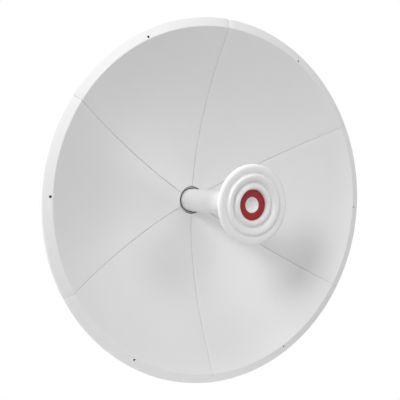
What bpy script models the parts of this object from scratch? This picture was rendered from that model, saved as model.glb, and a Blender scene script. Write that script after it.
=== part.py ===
"""Microwave dish antenna: six pressed petals, a feed with a stepped cap, and a tilting mast bracket.

World frame in metres: +Z is up, the dish looks along -Y, and the origin is the centre of the mast
bracket's flat rear face. Pieces of the dish and its feed are modelled about the boresight, which is
the local +Z axis of an empty at the bowl's vertex, with local +Y pointing up.
"""

import math

import bmesh
import bpy
from mathutils import Matrix, Vector

MM = 0.001
CLEARANCE = 0.3 * MM

# Reflector
VERTEX_Y = -165.0 * MM
FOCAL_LENGTH = 217.0 * MM
RIM_OUTER_RADIUS = 325.0 * MM
RIM_INNER_RADIUS = 307.8 * MM
BAND_DROP = 3.2 * MM
RIM_ROUND = 2.0 * MM
SKIRT_DEPTH = 5.8 * MM
SHEET = 1.5 * MM
PETALS = 6
PETAL_STEPS = 10
SEAM_GAP = 2 * CLEARANCE
JOINT_START_RADIUS = 100.0 * MM
JOINT_END_RADIUS = 298.0 * MM
JOINT_DEPTH = 12.0 * MM
JOINT_END_DEPTH = 4.0 * MM
RIM_HOLE_RADIUS = 2.2 * MM
RIM_HOLE_CIRCLE = 311.7 * MM

# Hub
HUB_HOLE_RADIUS = 26.3 * MM
HUB_RADIUS = 92.0 * MM
HUB_FLANGE = 5.0 * MM
HUB_BOSS_RADIUS = 62.0 * MM
HUB_BOSS_FOOT_RADIUS = 67.0 * MM
HUB_BACK = -16.0 * MM
HUB_BORE_RADIUS = 26.0 * MM
HUB_RIBS = 6
HUB_RIB_WIDTH = 5.0 * MM

# Feed
TUBE_BASE_RADIUS = 21.4 * MM
TUBE_END_RADIUS = 19.0 * MM
TUBE_WALL = 2.5 * MM
TUBE_BACK = -27.0 * MM
TUBE_FRONT = 188.0 * MM
COLLAR_LIP_INNER = 23.0 * MM
COLLAR_LIP_OUTER = 24.6 * MM
COLLAR_SHOULDER = -6.0 * MM
COLLAR_FRONT = -0.6 * MM
LOCK_RING_RADIUS = 31.0 * MM
LOCK_RING_BACK = -26.7 * MM
HOUSING_HALF = 33.0 * MM
HOUSING_DEPTH = 46.0 * MM
HOUSING_ROUND = 6.0 * MM
SPIGOT_LENGTH = 14.0 * MM

# Feed cap, heights above the vertex
CAP_RADIUS = 67.8 * MM
CAP_FACE = 212.5 * MM
CAP_ROUND = 9.9 * MM
CAP_ROUND_ANGLE = 47.5
BRIM_BACK = 208.1 * MM
BRIM_EDGE = 0.6 * MM
BODY_RADIUS = 54.0 * MM
CAP_BACK = 197.6 * MM
RED_OUTER_RADIUS = 25.6 * MM
RED_INNER_RADIUS = 13.4 * MM
RED_FACE = 207.2 * MM
RED_BACK = 204.4 * MM
RED_CHAMFER = 0.6 * MM
DISC_RADIUS = 13.1 * MM
DISC_BACK = 199.4 * MM
DISC_HOLLOW = 6.5 * MM
CONE_RADIUS = 46.0 * MM
CONE_SPIGOT = 14.0 * MM

# Coax jacks under the housing
JACK_X = 16.0 * MM
JACK_FLANGE = 25.0 * MM
JACK_FLANGE_THICKNESS = 3.0 * MM
JACK_RADIUS = 7.9 * MM
JACK_BORE_RADIUS = 4.2 * MM
JACK_LENGTH = 18.0 * MM
JACK_BORE_DEPTH = 9.5 * MM

# Brackets
PLATE = 4.0 * MM
BEND = 6.0 * MM
MAST_HALF_WIDTH = 50.0 * MM
MAST_HALF_HEIGHT = 70.0 * MM
PIVOT_Y = -60.0 * MM
PIVOT_Z = -50.0 * MM
LOCK_RADIUS = 90.0 * MM
TILT_RANGE = math.radians(12.0)
HUB_BRACKET_END_Y = -45.0 * MM
WEB_HOLE_RADIUS = 34.0 * MM
PIVOT_SHANK = 5.0 * MM
LOCK_SHANK = 4.0 * MM
HOLE_PLAY = 0.45 * MM
HEAD_RADIUS = 9.8 * MM
HEAD_THICKNESS = 6.4 * MM
NUT_THICKNESS = 8.0 * MM
BOLT_TAIL = 3.0 * MM
LOCK_HEAD_RADIUS = 9.0 * MM
LOCK_HEAD_THICKNESS = 4.0 * MM
LOCK_NUT_RADIUS = 8.0 * MM

# Mast clamps
U_ROD_RADIUS = 4.0 * MM
U_LEG_X = 30.0 * MM
U_BEND_Y = 26.0 * MM
U_FRONT_Y = -26.0 * MM
U_HEIGHT = 45.0 * MM
STRAP_HALF_LENGTH = 39.0 * MM
STRAP_HALF_HEIGHT = 9.0 * MM

ROUND_STEPS = 36
HOLE_STEPS = 16


# Scene helpers


def clear_scene():
    """Remove every object of the scene."""
    for old in list(bpy.data.objects):
        bpy.data.objects.remove(old, do_unlink=True)


def new_collection(name):
    """Add a collection to the scene."""
    made = bpy.data.collections.new(name)
    bpy.context.scene.collection.children.link(made)
    return made


def make_material(name, colour, roughness, metallic=0.0):
    """A Principled material of one colour."""
    made = bpy.data.materials.new(name)
    made.use_nodes = True
    shader = made.node_tree.nodes["Principled BSDF"]
    shader.inputs["Base Color"].default_value = (*colour, 1.0)
    shader.inputs["Roughness"].default_value = roughness
    shader.inputs["Metallic"].default_value = metallic
    return made


clear_scene()
PARTS = new_collection("microwave_dish_antenna")
CUTTERS = new_collection("cutters")
WHITE_PAINT = make_material("white_paint", (0.82, 0.82, 0.83), 0.45)
WHITE_PLASTIC = make_material("white_plastic", (0.86, 0.86, 0.86), 0.35)
RED_PLASTIC = make_material("red_plastic", (0.42, 0.012, 0.016), 0.4)
CAST_METAL = make_material("cast_metal", (0.55, 0.56, 0.57), 0.5, 0.9)
GREY_PLASTIC = make_material("grey_plastic", (0.55, 0.56, 0.57), 0.5)
GALVANISED = make_material("galvanised_steel", (0.58, 0.60, 0.61), 0.42, 1.0)
BOLT_STEEL = make_material("bolt_steel", (0.66, 0.66, 0.64), 0.32, 1.0)
PLATED_BRASS = make_material("plated_brass", (0.74, 0.72, 0.66), 0.25, 1.0)

BORESIGHT = bpy.data.objects.new("boresight", None)
BORESIGHT.location = (0.0, VERTEX_Y, 0.0)
BORESIGHT.rotation_euler = (math.pi / 2, 0.0, 0.0)
PARTS.objects.link(BORESIGHT)


def add_object(name, data, material=None, parent=None, collection=None):
    """Put mesh or curve data in the scene as one named object."""
    made = bpy.data.objects.new(name, data)
    (collection or PARTS).objects.link(made)
    made.parent = parent
    if material:
        data.materials.clear()
        data.materials.append(material)
    return made


def as_cutter(thing):
    """Keep an object out of the model, as a cutter or a building step."""
    for home in list(thing.users_collection):
        home.objects.unlink(thing)
    CUTTERS.objects.link(thing)
    thing.hide_render = True
    thing.display_type = "WIRE"
    return thing


def evaluated_mesh(thing):
    """The object's mesh after its modifiers, with the loose caps of a curve welded."""
    bpy.context.view_layer.update()
    graph = bpy.context.evaluated_depsgraph_get()
    mesh = bpy.data.meshes.new_from_object(thing.evaluated_get(graph))
    shape = bmesh.new()
    shape.from_mesh(mesh)
    bmesh.ops.remove_doubles(shape, verts=shape.verts, dist=0.01 * MM)
    shape.to_mesh(mesh)
    shape.free()
    return mesh


def freeze(thing):
    """Replace an object by a plain mesh object of the same name and place."""
    name, material, parent = thing.name, thing.data.materials[0], thing.parent
    place, collection = thing.matrix_basis.copy(), thing.users_collection[0]
    mesh = evaluated_mesh(thing)
    bpy.data.objects.remove(thing, do_unlink=True)
    made = add_object(name, mesh, material, parent, collection)
    made.matrix_basis = place
    return made


def boolean(thing, other, operation):
    """Cut, join or intersect an object with another, which goes to the cutters."""
    step = thing.modifiers.new(operation.lower(), "BOOLEAN")
    step.operation = operation
    step.solver = "EXACT"
    step.object = as_cutter(other)
    return thing


def shade(thing, angle=35.0):
    """Shade a mesh object smooth, with its sharp edges kept."""
    thing.data.shade_smooth()
    thing.data.set_sharp_from_angle(angle=math.radians(angle))
    return thing


# Shape helpers


def arc(centre, radius, start, end, steps):
    """Points of an arc in a plane, angles in degrees, both ends included."""
    angles = [math.radians(start + (end - start) * step / steps) for step in range(steps + 1)]
    return [(centre[0] + radius * math.cos(a), centre[1] + radius * math.sin(a)) for a in angles]


def spread(low, high, count):
    """count values from low towards high, evenly spaced, without high."""
    return [low + (high - low) * step / count for step in range(count)]


def bowl_height(radius):
    """Height of the paraboloid above its vertex."""
    return radius**2 / (4 * FOCAL_LENGTH)


def behind_sheet(radius):
    """Height of a face that lies one clearance behind the reflector sheet."""
    slope = math.atan(radius / (2 * FOCAL_LENGTH))
    return bowl_height(radius) - (SHEET + CLEARANCE) / math.cos(slope)


def turned(name, profile, material, closed=True, steps=ROUND_STEPS, parent=BORESIGHT):
    """Turn a profile of (radius, height) points about the local Z axis.

    The profile runs down its outer side first. A closed one makes a ring, an open one starts and
    ends on the axis.
    """
    mesh = bpy.data.meshes.new(name)
    count = len(profile)
    edges = [(i, (i + 1) % count) for i in range(count if closed else count - 1)]
    mesh.from_pydata([(radius, 0.0, height) for radius, height in profile], edges, [])
    made = add_object(name, mesh, material, parent)
    screw = made.modifiers.new("turn", "SCREW")
    screw.steps = screw.render_steps = steps
    screw.use_merge_vertices = True
    screw.merge_threshold = 0.01 * MM
    screw.use_smooth_shade = True
    return made


def cylinder(name, radius, length, centre, axis="Z", sides=HOLE_STEPS, material=None):
    """A cylinder along an axis of the world, as a mesh in world coordinates."""
    turn = {"X": Matrix.Rotation(math.pi / 2, 4, "Y"), "Y": Matrix.Rotation(math.pi / 2, 4, "X")}
    shape = bmesh.new()
    bmesh.ops.create_cone(
        shape, cap_ends=True, segments=sides, radius1=radius, radius2=radius, depth=length,
        matrix=Matrix.Translation(centre) @ turn.get(axis, Matrix.Identity(4)),
    )
    mesh = bpy.data.meshes.new(name)
    shape.to_mesh(mesh)
    shape.free()
    return add_object(name, mesh, material)


def box(name, low, high, material=None):
    """A box between two corners, as a mesh in world coordinates."""
    low, high = Vector(low), Vector(high)
    shape = bmesh.new()
    size = Matrix.Diagonal((*(high - low), 1.0))
    bmesh.ops.create_cube(shape, size=1.0, matrix=Matrix.Translation((low + high) / 2) @ size)
    mesh = bpy.data.meshes.new(name)
    shape.to_mesh(mesh)
    shape.free()
    return add_object(name, mesh, material)


def outline(name, loops, thickness, place, material=None, parent=None):
    """A flat plate: closed outlines in a plane, given half the thickness on each side of it.

    The loops after the first are holes in it.
    """
    curve = bpy.data.curves.new(name, "CURVE")
    curve.dimensions = "2D"
    curve.fill_mode = "BOTH"
    curve.extrude = thickness / 2
    for points in loops:
        spline = curve.splines.new("POLY")
        spline.points.add(len(points) - 1)
        for point, (x, y) in zip(spline.points, points):
            point.co = (x, y, 0.0, 1.0)
        spline.use_cyclic_u = True
    made = add_object(name, curve, material or BOLT_STEEL, parent)
    made.matrix_basis = place
    return freeze(made)


SIDE_VIEW = Matrix(((0, 0, 1, 0), (1, 0, 0, 0), (0, 1, 0, 0), (0, 0, 0, 1)))
FRONT_VIEW = Matrix(((1, 0, 0, 0), (0, 0, -1, 0), (0, 1, 0, 0), (0, 0, 0, 1)))


# Reflector petals


def petal_profile():
    """The petal's section from the hub hole out over the rim band and down its skirt."""
    radii = spread(HUB_HOLE_RADIUS, JOINT_START_RADIUS, 3)
    radii += spread(JOINT_START_RADIUS, JOINT_END_RADIUS, 8)
    radii += [JOINT_END_RADIUS, RIM_INNER_RADIUS]
    band_end = bowl_height(RIM_INNER_RADIUS) - BAND_DROP
    centre = (RIM_OUTER_RADIUS - RIM_ROUND, band_end - RIM_ROUND)
    edge = arc(centre, RIM_ROUND, 90, 0, 2)
    skirt = (RIM_OUTER_RADIUS, centre[1] - SKIRT_DEPTH)
    return [(radius, bowl_height(radius)) for radius in radii] + edge + [skirt]


def petal_sheet():
    """One petal as an open surface about azimuth 0, with its joint flanges turned back."""
    half = math.pi / PETALS
    shape = bmesh.new()
    start = Matrix.Rotation(-half, 3, "Z")
    points = [shape.verts.new(start @ Vector((r, 0.0, h))) for r, h in petal_profile()]
    edges = [shape.edges.new(pair) for pair in zip(points, points[1:])]
    bmesh.ops.spin(
        shape, geom=points + edges, cent=(0, 0, 0), axis=(0, 0, 1), angle=2 * half, steps=PETAL_STEPS,
    )
    bmesh.ops.remove_doubles(shape, verts=shape.verts, dist=0.001 * MM)
    for side in (-1, 1):
        outward = Vector((-math.sin(side * half), math.cos(side * half), 0.0)) * side
        radial = Vector((math.cos(side * half), math.sin(side * half), 0.0))
        seam = -outward * SEAM_GAP / 2
        everything = shape.verts[:] + shape.edges[:] + shape.faces[:]
        bmesh.ops.bisect_plane(
            shape, geom=everything, plane_co=seam, plane_no=outward, clear_outer=True,
        )
        on_seam = {v for v in shape.verts if abs((v.co - seam).dot(outward)) < 0.001 * MM}
        reach = (JOINT_START_RADIUS - 1 * MM, JOINT_END_RADIUS + 1 * MM)
        joint = {v for v in on_seam if reach[0] < v.co.xy.length < reach[1]}
        folded = [e for e in shape.edges if set(e.verts) <= joint]
        made = bmesh.ops.extrude_edge_only(shape, edges=folded)["geom"]
        for vert in (item for item in made if isinstance(item, bmesh.types.BMVert)):
            radius = vert.co.xy.length
            slope = math.atan(radius / (2 * FOCAL_LENGTH))
            backward = radial * math.sin(slope) - Vector((0.0, 0.0, math.cos(slope)))
            inner = min(radius - JOINT_START_RADIUS, JOINT_END_RADIUS - radius) > 1 * MM
            vert.co += backward * (JOINT_DEPTH if inner else JOINT_END_DEPTH)
    bmesh.ops.recalc_face_normals(shape, faces=shape.faces)
    shape.faces.ensure_lookup_table()
    if sum(face.normal.z for face in shape.faces) < 0:
        bmesh.ops.reverse_faces(shape, faces=shape.faces)
    mesh = bpy.data.meshes.new("petal")
    shape.to_mesh(mesh)
    shape.free()
    return mesh


def build_petals():
    """Six petals that share one mesh, each turned about the boresight."""
    pattern = add_object("petal_pattern", petal_sheet(), WHITE_PAINT)
    skin = pattern.modifiers.new("sheet", "SOLIDIFY")
    skin.thickness = SHEET
    skin.offset = -1.0
    skin.use_even_offset = True
    hole_height = bowl_height(RIM_INNER_RADIUS) - SHEET
    centre = (RIM_HOLE_CIRCLE, 0.0, hole_height)
    boolean(pattern, cylinder("rim_hole", RIM_HOLE_RADIUS, 12 * MM, centre, sides=10), "DIFFERENCE")
    mesh = evaluated_mesh(pattern)
    as_cutter(pattern)
    for number in range(PETALS):
        petal = add_object(f"petal_{number + 1}", mesh, parent=BORESIGHT)
        petal.rotation_euler.z = math.tau * number / PETALS
        shade(petal)


# Hub and feed


def build_hub():
    """The cast hub behind the petals: a dished flange, a flat boss and ribs between them."""
    radii = spread(HUB_RADIUS, HUB_BORE_RADIUS, 5) + [HUB_BORE_RADIUS]
    front = [(radius, behind_sheet(radius)) for radius in radii]
    flange_back = [
        (HUB_BOSS_FOOT_RADIUS, behind_sheet(HUB_BOSS_FOOT_RADIUS) - HUB_FLANGE),
        (HUB_RADIUS, behind_sheet(HUB_RADIUS) - HUB_FLANGE),
    ]
    boss = [(HUB_BORE_RADIUS, HUB_BACK), (HUB_BOSS_RADIUS, HUB_BACK)]
    hub = turned("hub_casting", list(reversed(front + boss + flange_back)), CAST_METAL)
    ribs = []
    for number in range(HUB_RIBS):
        angle = math.tau * (number + 0.5) / HUB_RIBS
        foot, tip, low = HUB_BOSS_RADIUS - 2 * MM, HUB_RADIUS - 6 * MM, HUB_BACK + 3 * MM
        corners = [
            (foot, low), (HUB_BOSS_FOOT_RADIUS, low), (tip, behind_sheet(tip) - HUB_FLANGE),
            (tip, behind_sheet(tip) - HUB_FLANGE / 2),
            (foot, behind_sheet(HUB_BOSS_RADIUS) - HUB_FLANGE / 2),
        ]
        place = Matrix.Rotation(angle, 4, "Z") @ Matrix.Rotation(math.pi / 2, 4, "X")
        rib = outline(f"hub_rib_{number + 1}", [corners], HUB_RIB_WIDTH, place, parent=BORESIGHT)
        ribs.append(rib)
    hub = freeze(hub)
    for rib in ribs:
        boolean(hub, rib, "UNION")
    return shade(freeze(hub))


def tube_radius(height):
    """Outer radius of the feed tube, which tapers from the vertex to its front end."""
    return TUBE_BASE_RADIUS + (TUBE_END_RADIUS - TUBE_BASE_RADIUS) * max(height, 0.0) / TUBE_FRONT


def build_feed_tube():
    """The tapered tube, the collar round its foot and the ring that locks it behind the hub."""
    outer = [(tube_radius(h), h) for h in (TUBE_FRONT, 0.0, TUBE_BACK)]
    inner = [(radius - TUBE_WALL, height) for radius, height in reversed(outer)]
    turned("feed_tube", outer + inner, WHITE_PLASTIC)
    bore = TUBE_BASE_RADIUS + CLEARANCE
    sleeve = HUB_BORE_RADIUS - CLEARANCE
    collar = [
        (COLLAR_LIP_OUTER, COLLAR_FRONT), (COLLAR_LIP_OUTER, COLLAR_SHOULDER),
        (sleeve, COLLAR_SHOULDER), (sleeve, HUB_BACK), (bore, HUB_BACK),
        (bore, COLLAR_SHOULDER), (COLLAR_LIP_INNER, COLLAR_SHOULDER), (COLLAR_LIP_INNER, COLLAR_FRONT),
    ]
    turned("feed_collar", collar, WHITE_PLASTIC)
    front = HUB_BACK - CLEARANCE
    lock = [
        (LOCK_RING_RADIUS, front), (LOCK_RING_RADIUS, LOCK_RING_BACK),
        (bore, LOCK_RING_BACK), (bore, front),
    ]
    turned("feed_lock_ring", lock, GALVANISED)


def cap_steps():
    """The two ridges on the cap's face, from the recess of the red ring out to the flat brim."""
    steps = [
        (25.9, 209.2), (26.8, 211.6), (28.2, 213.3), (29.8, 214.0), (31.4, 213.7), (34.0, 212.2),
        (36.4, 210.3), (37.8, 209.9), (39.2, 210.4), (42.4, 213.0), (45.0, 214.8), (47.2, 215.4),
        (49.6, 215.2), (51.6, 214.2), (53.6, 212.8), (55.2, 212.5),
    ]
    return [(radius * MM, height * MM) for radius, height in steps]


def build_feed_cap():
    """The cap at the tube's end: a thin brim round a body with pockets for the ring and disc."""
    disc_floor, red_floor = DISC_BACK - CLEARANCE, RED_BACK - CLEARANCE
    disc_wall, red_wall = DISC_RADIUS + CLEARANCE, RED_OUTER_RADIUS + CLEARANCE
    pockets = [
        (0.0, disc_floor), (disc_wall, disc_floor), (disc_wall, red_floor), (red_wall, red_floor),
        (red_wall, RED_FACE),
    ]
    flat_radius = CAP_RADIUS - CAP_ROUND * math.sin(math.radians(CAP_ROUND_ANGLE))
    edge = arc((flat_radius, CAP_FACE - CAP_ROUND), CAP_ROUND, 90, 90 - CAP_ROUND_ANGLE, 4)
    back = [
        (CAP_RADIUS, BRIM_BACK + BRIM_EDGE), (CAP_RADIUS - BRIM_EDGE, BRIM_BACK),
        (BODY_RADIUS, BRIM_BACK), (BODY_RADIUS - 3 * MM, CAP_BACK), (0.0, CAP_BACK),
    ]
    turned("feed_cap", pockets + cap_steps() + edge + back, WHITE_PLASTIC, closed=False)


def build_cap_inlays():
    """The red ring and, inside it, the white disc with its shallow hollow."""
    ring = [
        (RED_INNER_RADIUS, RED_FACE), (RED_OUTER_RADIUS - RED_CHAMFER, RED_FACE),
        (RED_OUTER_RADIUS, RED_FACE - RED_CHAMFER), (RED_OUTER_RADIUS, RED_BACK),
        (RED_INNER_RADIUS, RED_BACK),
    ]
    turned("red_ring", ring, RED_PLASTIC)
    radii = spread(0.0, DISC_RADIUS, 4) + [DISC_RADIUS]
    hollow = [(r, RED_FACE - DISC_HOLLOW * (1 - (r / DISC_RADIUS) ** 2)) for r in radii]
    disc = hollow + [(DISC_RADIUS, DISC_BACK), (0.0, DISC_BACK)]
    turned("centre_disc", disc, WHITE_PLASTIC, closed=False)


def build_cone():
    """The cone that carries the cap, with a spigot that plugs into the tube."""
    spigot = tube_radius(TUBE_FRONT) - TUBE_WALL - CLEARANCE
    shoulder, front = TUBE_FRONT + CLEARANCE, CAP_BACK - CLEARANCE
    neck = tube_radius(TUBE_FRONT) + 1.2 * MM
    profile = [
        (0.0, front), (CONE_RADIUS, front), (CONE_RADIUS, front - 2 * MM),
        (neck + 11 * MM, front - 5 * MM),
        (neck, shoulder + 1.5 * MM), (neck, shoulder), (spigot, shoulder),
        (spigot, shoulder - CONE_SPIGOT), (0.0, shoulder - CONE_SPIGOT),
    ]
    turned("feed_cone", profile, WHITE_PLASTIC, closed=False)


def build_housing():
    """The block behind the hub that holds the feed's electrics, plugged into the tube's back."""
    front = VERTEX_Y - TUBE_BACK + CLEARANCE
    back = front + HOUSING_DEPTH
    low, high = (-HOUSING_HALF, front, -HOUSING_HALF), (HOUSING_HALF, back, HOUSING_HALF)
    housing = box("feed_housing", low, high, GREY_PLASTIC)
    rounded = housing.modifiers.new("rounded", "BEVEL")
    rounded.width = HOUSING_ROUND
    rounded.segments = 2
    rounded.limit_method = "ANGLE"
    spigot = TUBE_BASE_RADIUS - TUBE_WALL - CLEARANCE
    middle = front - SPIGOT_LENGTH / 2 + HOUSING_ROUND / 2
    plug = cylinder("housing_plug", spigot, SPIGOT_LENGTH + HOUSING_ROUND, (0, middle, 0), "Y", 32)
    shade(freeze(boolean(housing, plug, "UNION")))
    return (front + back) / 2


def build_jack(name, x, y):
    """A coax jack on the housing's underside: a square flange and a bored barrel pointing down."""
    top = -HOUSING_HALF - CLEARANCE
    half = JACK_FLANGE / 2
    under = top - JACK_FLANGE_THICKNESS
    flange = box(name, (x - half, y - half, under), (x + half, y + half, top), PLATED_BRASS)
    low, high = under - JACK_LENGTH, top - JACK_FLANGE_THICKNESS / 2
    barrel = cylinder(name + "_barrel", JACK_RADIUS, high - low, (x, y, (high + low) / 2), sides=24)
    bore = cylinder(name + "_bore", JACK_BORE_RADIUS, 2 * JACK_BORE_DEPTH, (x, y, low))
    boolean(flange, barrel, "UNION")
    boolean(flange, bore, "DIFFERENCE")
    shade(freeze(flange))


# Brackets


def u_section(half_width, reach):
    """A channel's section: a web across and two legs back from it, bent with round corners."""
    outer = arc((half_width - BEND, BEND), BEND, 0, -90, 3)
    inner = arc((half_width - BEND, BEND), BEND - PLATE, -90, 0, 3)
    right = [(half_width, reach)] + outer
    right_inside = inner + [(half_width - PLATE, reach)]
    left = [(-x, y) for x, y in reversed(right)]
    left_inside = [(-x, y) for x, y in reversed(right_inside)]
    return right + left + left_inside + right_inside


def channel(name, half_width, web_y, toward, side):
    """A folded channel: its section carried up Z, trimmed to a side outline of (y, z) points.

    toward is +1 where the legs run towards +Y from the web's outer face, else -1.
    """
    reach = max(abs(y - web_y) for y, z in side) + PLATE
    section = [(x, web_y + toward * y) for x, y in u_section(half_width, reach)]
    height = 2 * max(abs(z) for y, z in side) + 2 * PLATE
    bar = outline(name, [section], height, Matrix.Identity(4), GALVANISED)
    trim = outline(name + "_side", [side], 2 * half_width + 2 * PLATE, SIDE_VIEW)
    return freeze(boolean(bar, trim, "INTERSECT"))


def slot_outline(centre, path_radius, half_angle, half_width):
    """An arc slot above a pivot, as (y, z) points: two long arcs with round ends."""
    up, spread_angle = 90.0, math.degrees(half_angle)
    low, high = up - spread_angle, up + spread_angle
    ends = [arc(centre, path_radius, angle, angle, 1)[0] for angle in (low, high)]
    return (
        arc(centre, path_radius + half_width, low, high, 6)
        + arc(ends[1], half_width, high, high + 180, 4)[1:]
        + arc(centre, path_radius - half_width, high, low, 6)[1:]
        + arc(ends[0], half_width, low + 180, low + 360, 4)[1:-1]
    )


def build_hub_bracket():
    """The channel bolted to the hub, whose legs carry the pivot and the lock bolts."""
    web_y = VERTEX_Y - HUB_BACK + CLEARANCE
    half_width = MAST_HALF_WIDTH - PLATE - CLEARANCE
    side = [
        (web_y - PLATE, -HUB_BOSS_RADIUS), (HUB_BRACKET_END_Y, PIVOT_Z - 14 * MM),
        (HUB_BRACKET_END_Y, PIVOT_Z + LOCK_RADIUS + 14 * MM), (web_y - PLATE, HUB_BOSS_RADIUS),
    ]
    bracket = channel("hub_bracket", half_width, web_y, 1, side)
    middle = (0, web_y, 0)
    web_hole = cylinder("web_hole", WEB_HOLE_RADIUS, 4 * PLATE, middle, "Y", 32)
    through = 2 * MAST_HALF_WIDTH + 4 * PLATE
    pivot, lock = (0, PIVOT_Y, PIVOT_Z), (0, PIVOT_Y, PIVOT_Z + LOCK_RADIUS)
    pivot_hole = cylinder("hub_pivot_hole", PIVOT_SHANK + HOLE_PLAY, through, pivot, "X")
    lock_hole = cylinder("hub_lock_hole", LOCK_SHANK + HOLE_PLAY, through, lock, "X")
    for hole in (web_hole, pivot_hole, lock_hole):
        boolean(bracket, hole, "DIFFERENCE")
    shade(freeze(bracket))


def build_mast_bracket():
    """The channel that takes the mast on its flat rear face, with arc slots for the tilt."""
    top_y = PIVOT_Y - LOCK_RADIUS * math.sin(TILT_RANGE) - 10 * MM
    side = [
        (PLATE, -MAST_HALF_HEIGHT), (PLATE, MAST_HALF_HEIGHT), (-56 * MM, MAST_HALF_HEIGHT),
        (top_y, 58 * MM), (top_y, 12 * MM), (PIVOT_Y - 16 * MM, -60 * MM),
        (PIVOT_Y - 10 * MM, -66 * MM),
        (PIVOT_Y + 4 * MM, -MAST_HALF_HEIGHT),
    ]
    bracket = channel("mast_bracket", MAST_HALF_WIDTH, 0.0, -1, side)
    through = 2 * MAST_HALF_WIDTH + 4 * PLATE
    pivot = (PIVOT_Y, PIVOT_Z)
    hole = cylinder("mast_pivot_hole", PIVOT_SHANK + HOLE_PLAY, through, (0, *pivot), "X")
    boolean(bracket, hole, "DIFFERENCE")
    slot = slot_outline(pivot, LOCK_RADIUS, TILT_RANGE, LOCK_SHANK + HOLE_PLAY)
    boolean(bracket, outline("tilt_slot", [slot], through, SIDE_VIEW), "DIFFERENCE")
    for x in (-U_LEG_X, U_LEG_X):
        for z in (-U_HEIGHT, U_HEIGHT):
            leg = cylinder("leg_hole", U_ROD_RADIUS + HOLE_PLAY, 4 * PLATE, (x, 0, z), "Y")
            boolean(bracket, leg, "DIFFERENCE")
    shade(freeze(bracket))


def bolt(name, y, z, pieces):
    """A bolt along X, joined from (x from, x to, radius, sides) cylinders that overlap."""
    first = None
    for number, (start, end, radius, sides) in enumerate(pieces):
        centre = ((start + end) / 2, y, z)
        label = name if first is None else f"{name}_{number}"
        stage = cylinder(label, radius, abs(end - start), centre, "X", sides, BOLT_STEEL)
        first = stage if first is None else boolean(first, stage, "UNION")
    shade(freeze(first))


def build_bolts():
    """The pivot bolt right through both brackets, and a short lock bolt at each arc slot."""
    face = MAST_HALF_WIDTH + CLEARANCE
    bolt("pivot_bolt", PIVOT_Y, PIVOT_Z, [
        (-face - HEAD_THICKNESS / 2, face + NUT_THICKNESS + BOLT_TAIL, PIVOT_SHANK, HOLE_STEPS),
        (-face - HEAD_THICKNESS, -face, HEAD_RADIUS, 6),
        (face, face + NUT_THICKNESS, HEAD_RADIUS, 6),
    ])
    inside = MAST_HALF_WIDTH - 2 * PLATE - 2 * CLEARANCE
    tail = face + NUT_THICKNESS + BOLT_TAIL
    for name, side in (("lock_bolt_left", -1), ("lock_bolt_right", 1)):
        bolt(name, PIVOT_Y, PIVOT_Z + LOCK_RADIUS, [
            (side * (inside - LOCK_HEAD_THICKNESS / 2), side * tail, LOCK_SHANK, HOLE_STEPS),
            (side * (inside - LOCK_HEAD_THICKNESS), side * inside, LOCK_HEAD_RADIUS, 20),
            (side * face, side * (face + NUT_THICKNESS), LOCK_NUT_RADIUS, 6),
        ])


def build_mast_clamp(level, z):
    """A U-bolt round the mast and the strap that its nuts press on the web."""
    bend = arc((0.0, U_BEND_Y), U_LEG_X, 0, 180, 12)
    path = [(U_LEG_X, U_FRONT_Y)] + bend + [(-U_LEG_X, U_FRONT_Y)]
    curve = bpy.data.curves.new(f"u_bolt_{level}", "CURVE")
    curve.dimensions = "3D"
    curve.bevel_depth = U_ROD_RADIUS
    curve.bevel_resolution = 2
    curve.use_fill_caps = True
    spline = curve.splines.new("POLY")
    spline.points.add(len(path) - 1)
    for point, (x, y) in zip(spline.points, path):
        point.co = (x, y, z, 1.0)
    add_object(f"u_bolt_{level}", curve, BOLT_STEEL)

    round_x = STRAP_HALF_LENGTH - STRAP_HALF_HEIGHT
    ends = arc((round_x, 0.0), STRAP_HALF_HEIGHT, -90, 90, 6)
    plate = ends + [(-x, -y) for x, y in ends]
    hole = U_ROD_RADIUS + HOLE_PLAY
    holes = [arc((x, 0.0), hole, 0, 360, HOLE_STEPS)[:-1] for x in (-U_LEG_X, U_LEG_X)]
    middle = -PLATE - CLEARANCE - PLATE / 2
    place = Matrix.Translation((0.0, middle, z)) @ FRONT_VIEW
    outline(f"clamp_strap_{level}", [plate] + holes, PLATE, place, GALVANISED)


def build_antenna():
    """Build every piece of the antenna."""
    build_petals()
    build_hub()
    build_feed_tube()
    build_feed_cap()
    build_cap_inlays()
    build_cone()
    jack_y = build_housing()
    build_jack("coax_jack_left", -JACK_X, jack_y)
    build_jack("coax_jack_right", JACK_X, jack_y)
    build_hub_bracket()
    build_mast_bracket()
    build_bolts()
    build_mast_clamp("upper", U_HEIGHT)
    build_mast_clamp("lower", -U_HEIGHT)


build_antenna()
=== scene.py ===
"""Looks of a microwave dish antenna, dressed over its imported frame.

World frame: +Z is up, the dish looks along -Y and the origin is on the mast bracket's flat rear
face. Dish coordinates are (x to the right, y up, height): height is measured from the bowl's vertex
towards -Y, and an angle is seen from in front of the dish, 0 to the right and 90 degrees up. Sizes
of pieces and finishes are in millimetres, and a piece's mesh is scaled to metres when it is made.
"""

from __future__ import annotations

import functools
import logging
import math
from dataclasses import dataclass
from enum import Enum
from typing import Sequence

import bmesh
import bpy
import numpy as np
from mathutils import Matrix, Vector

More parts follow.
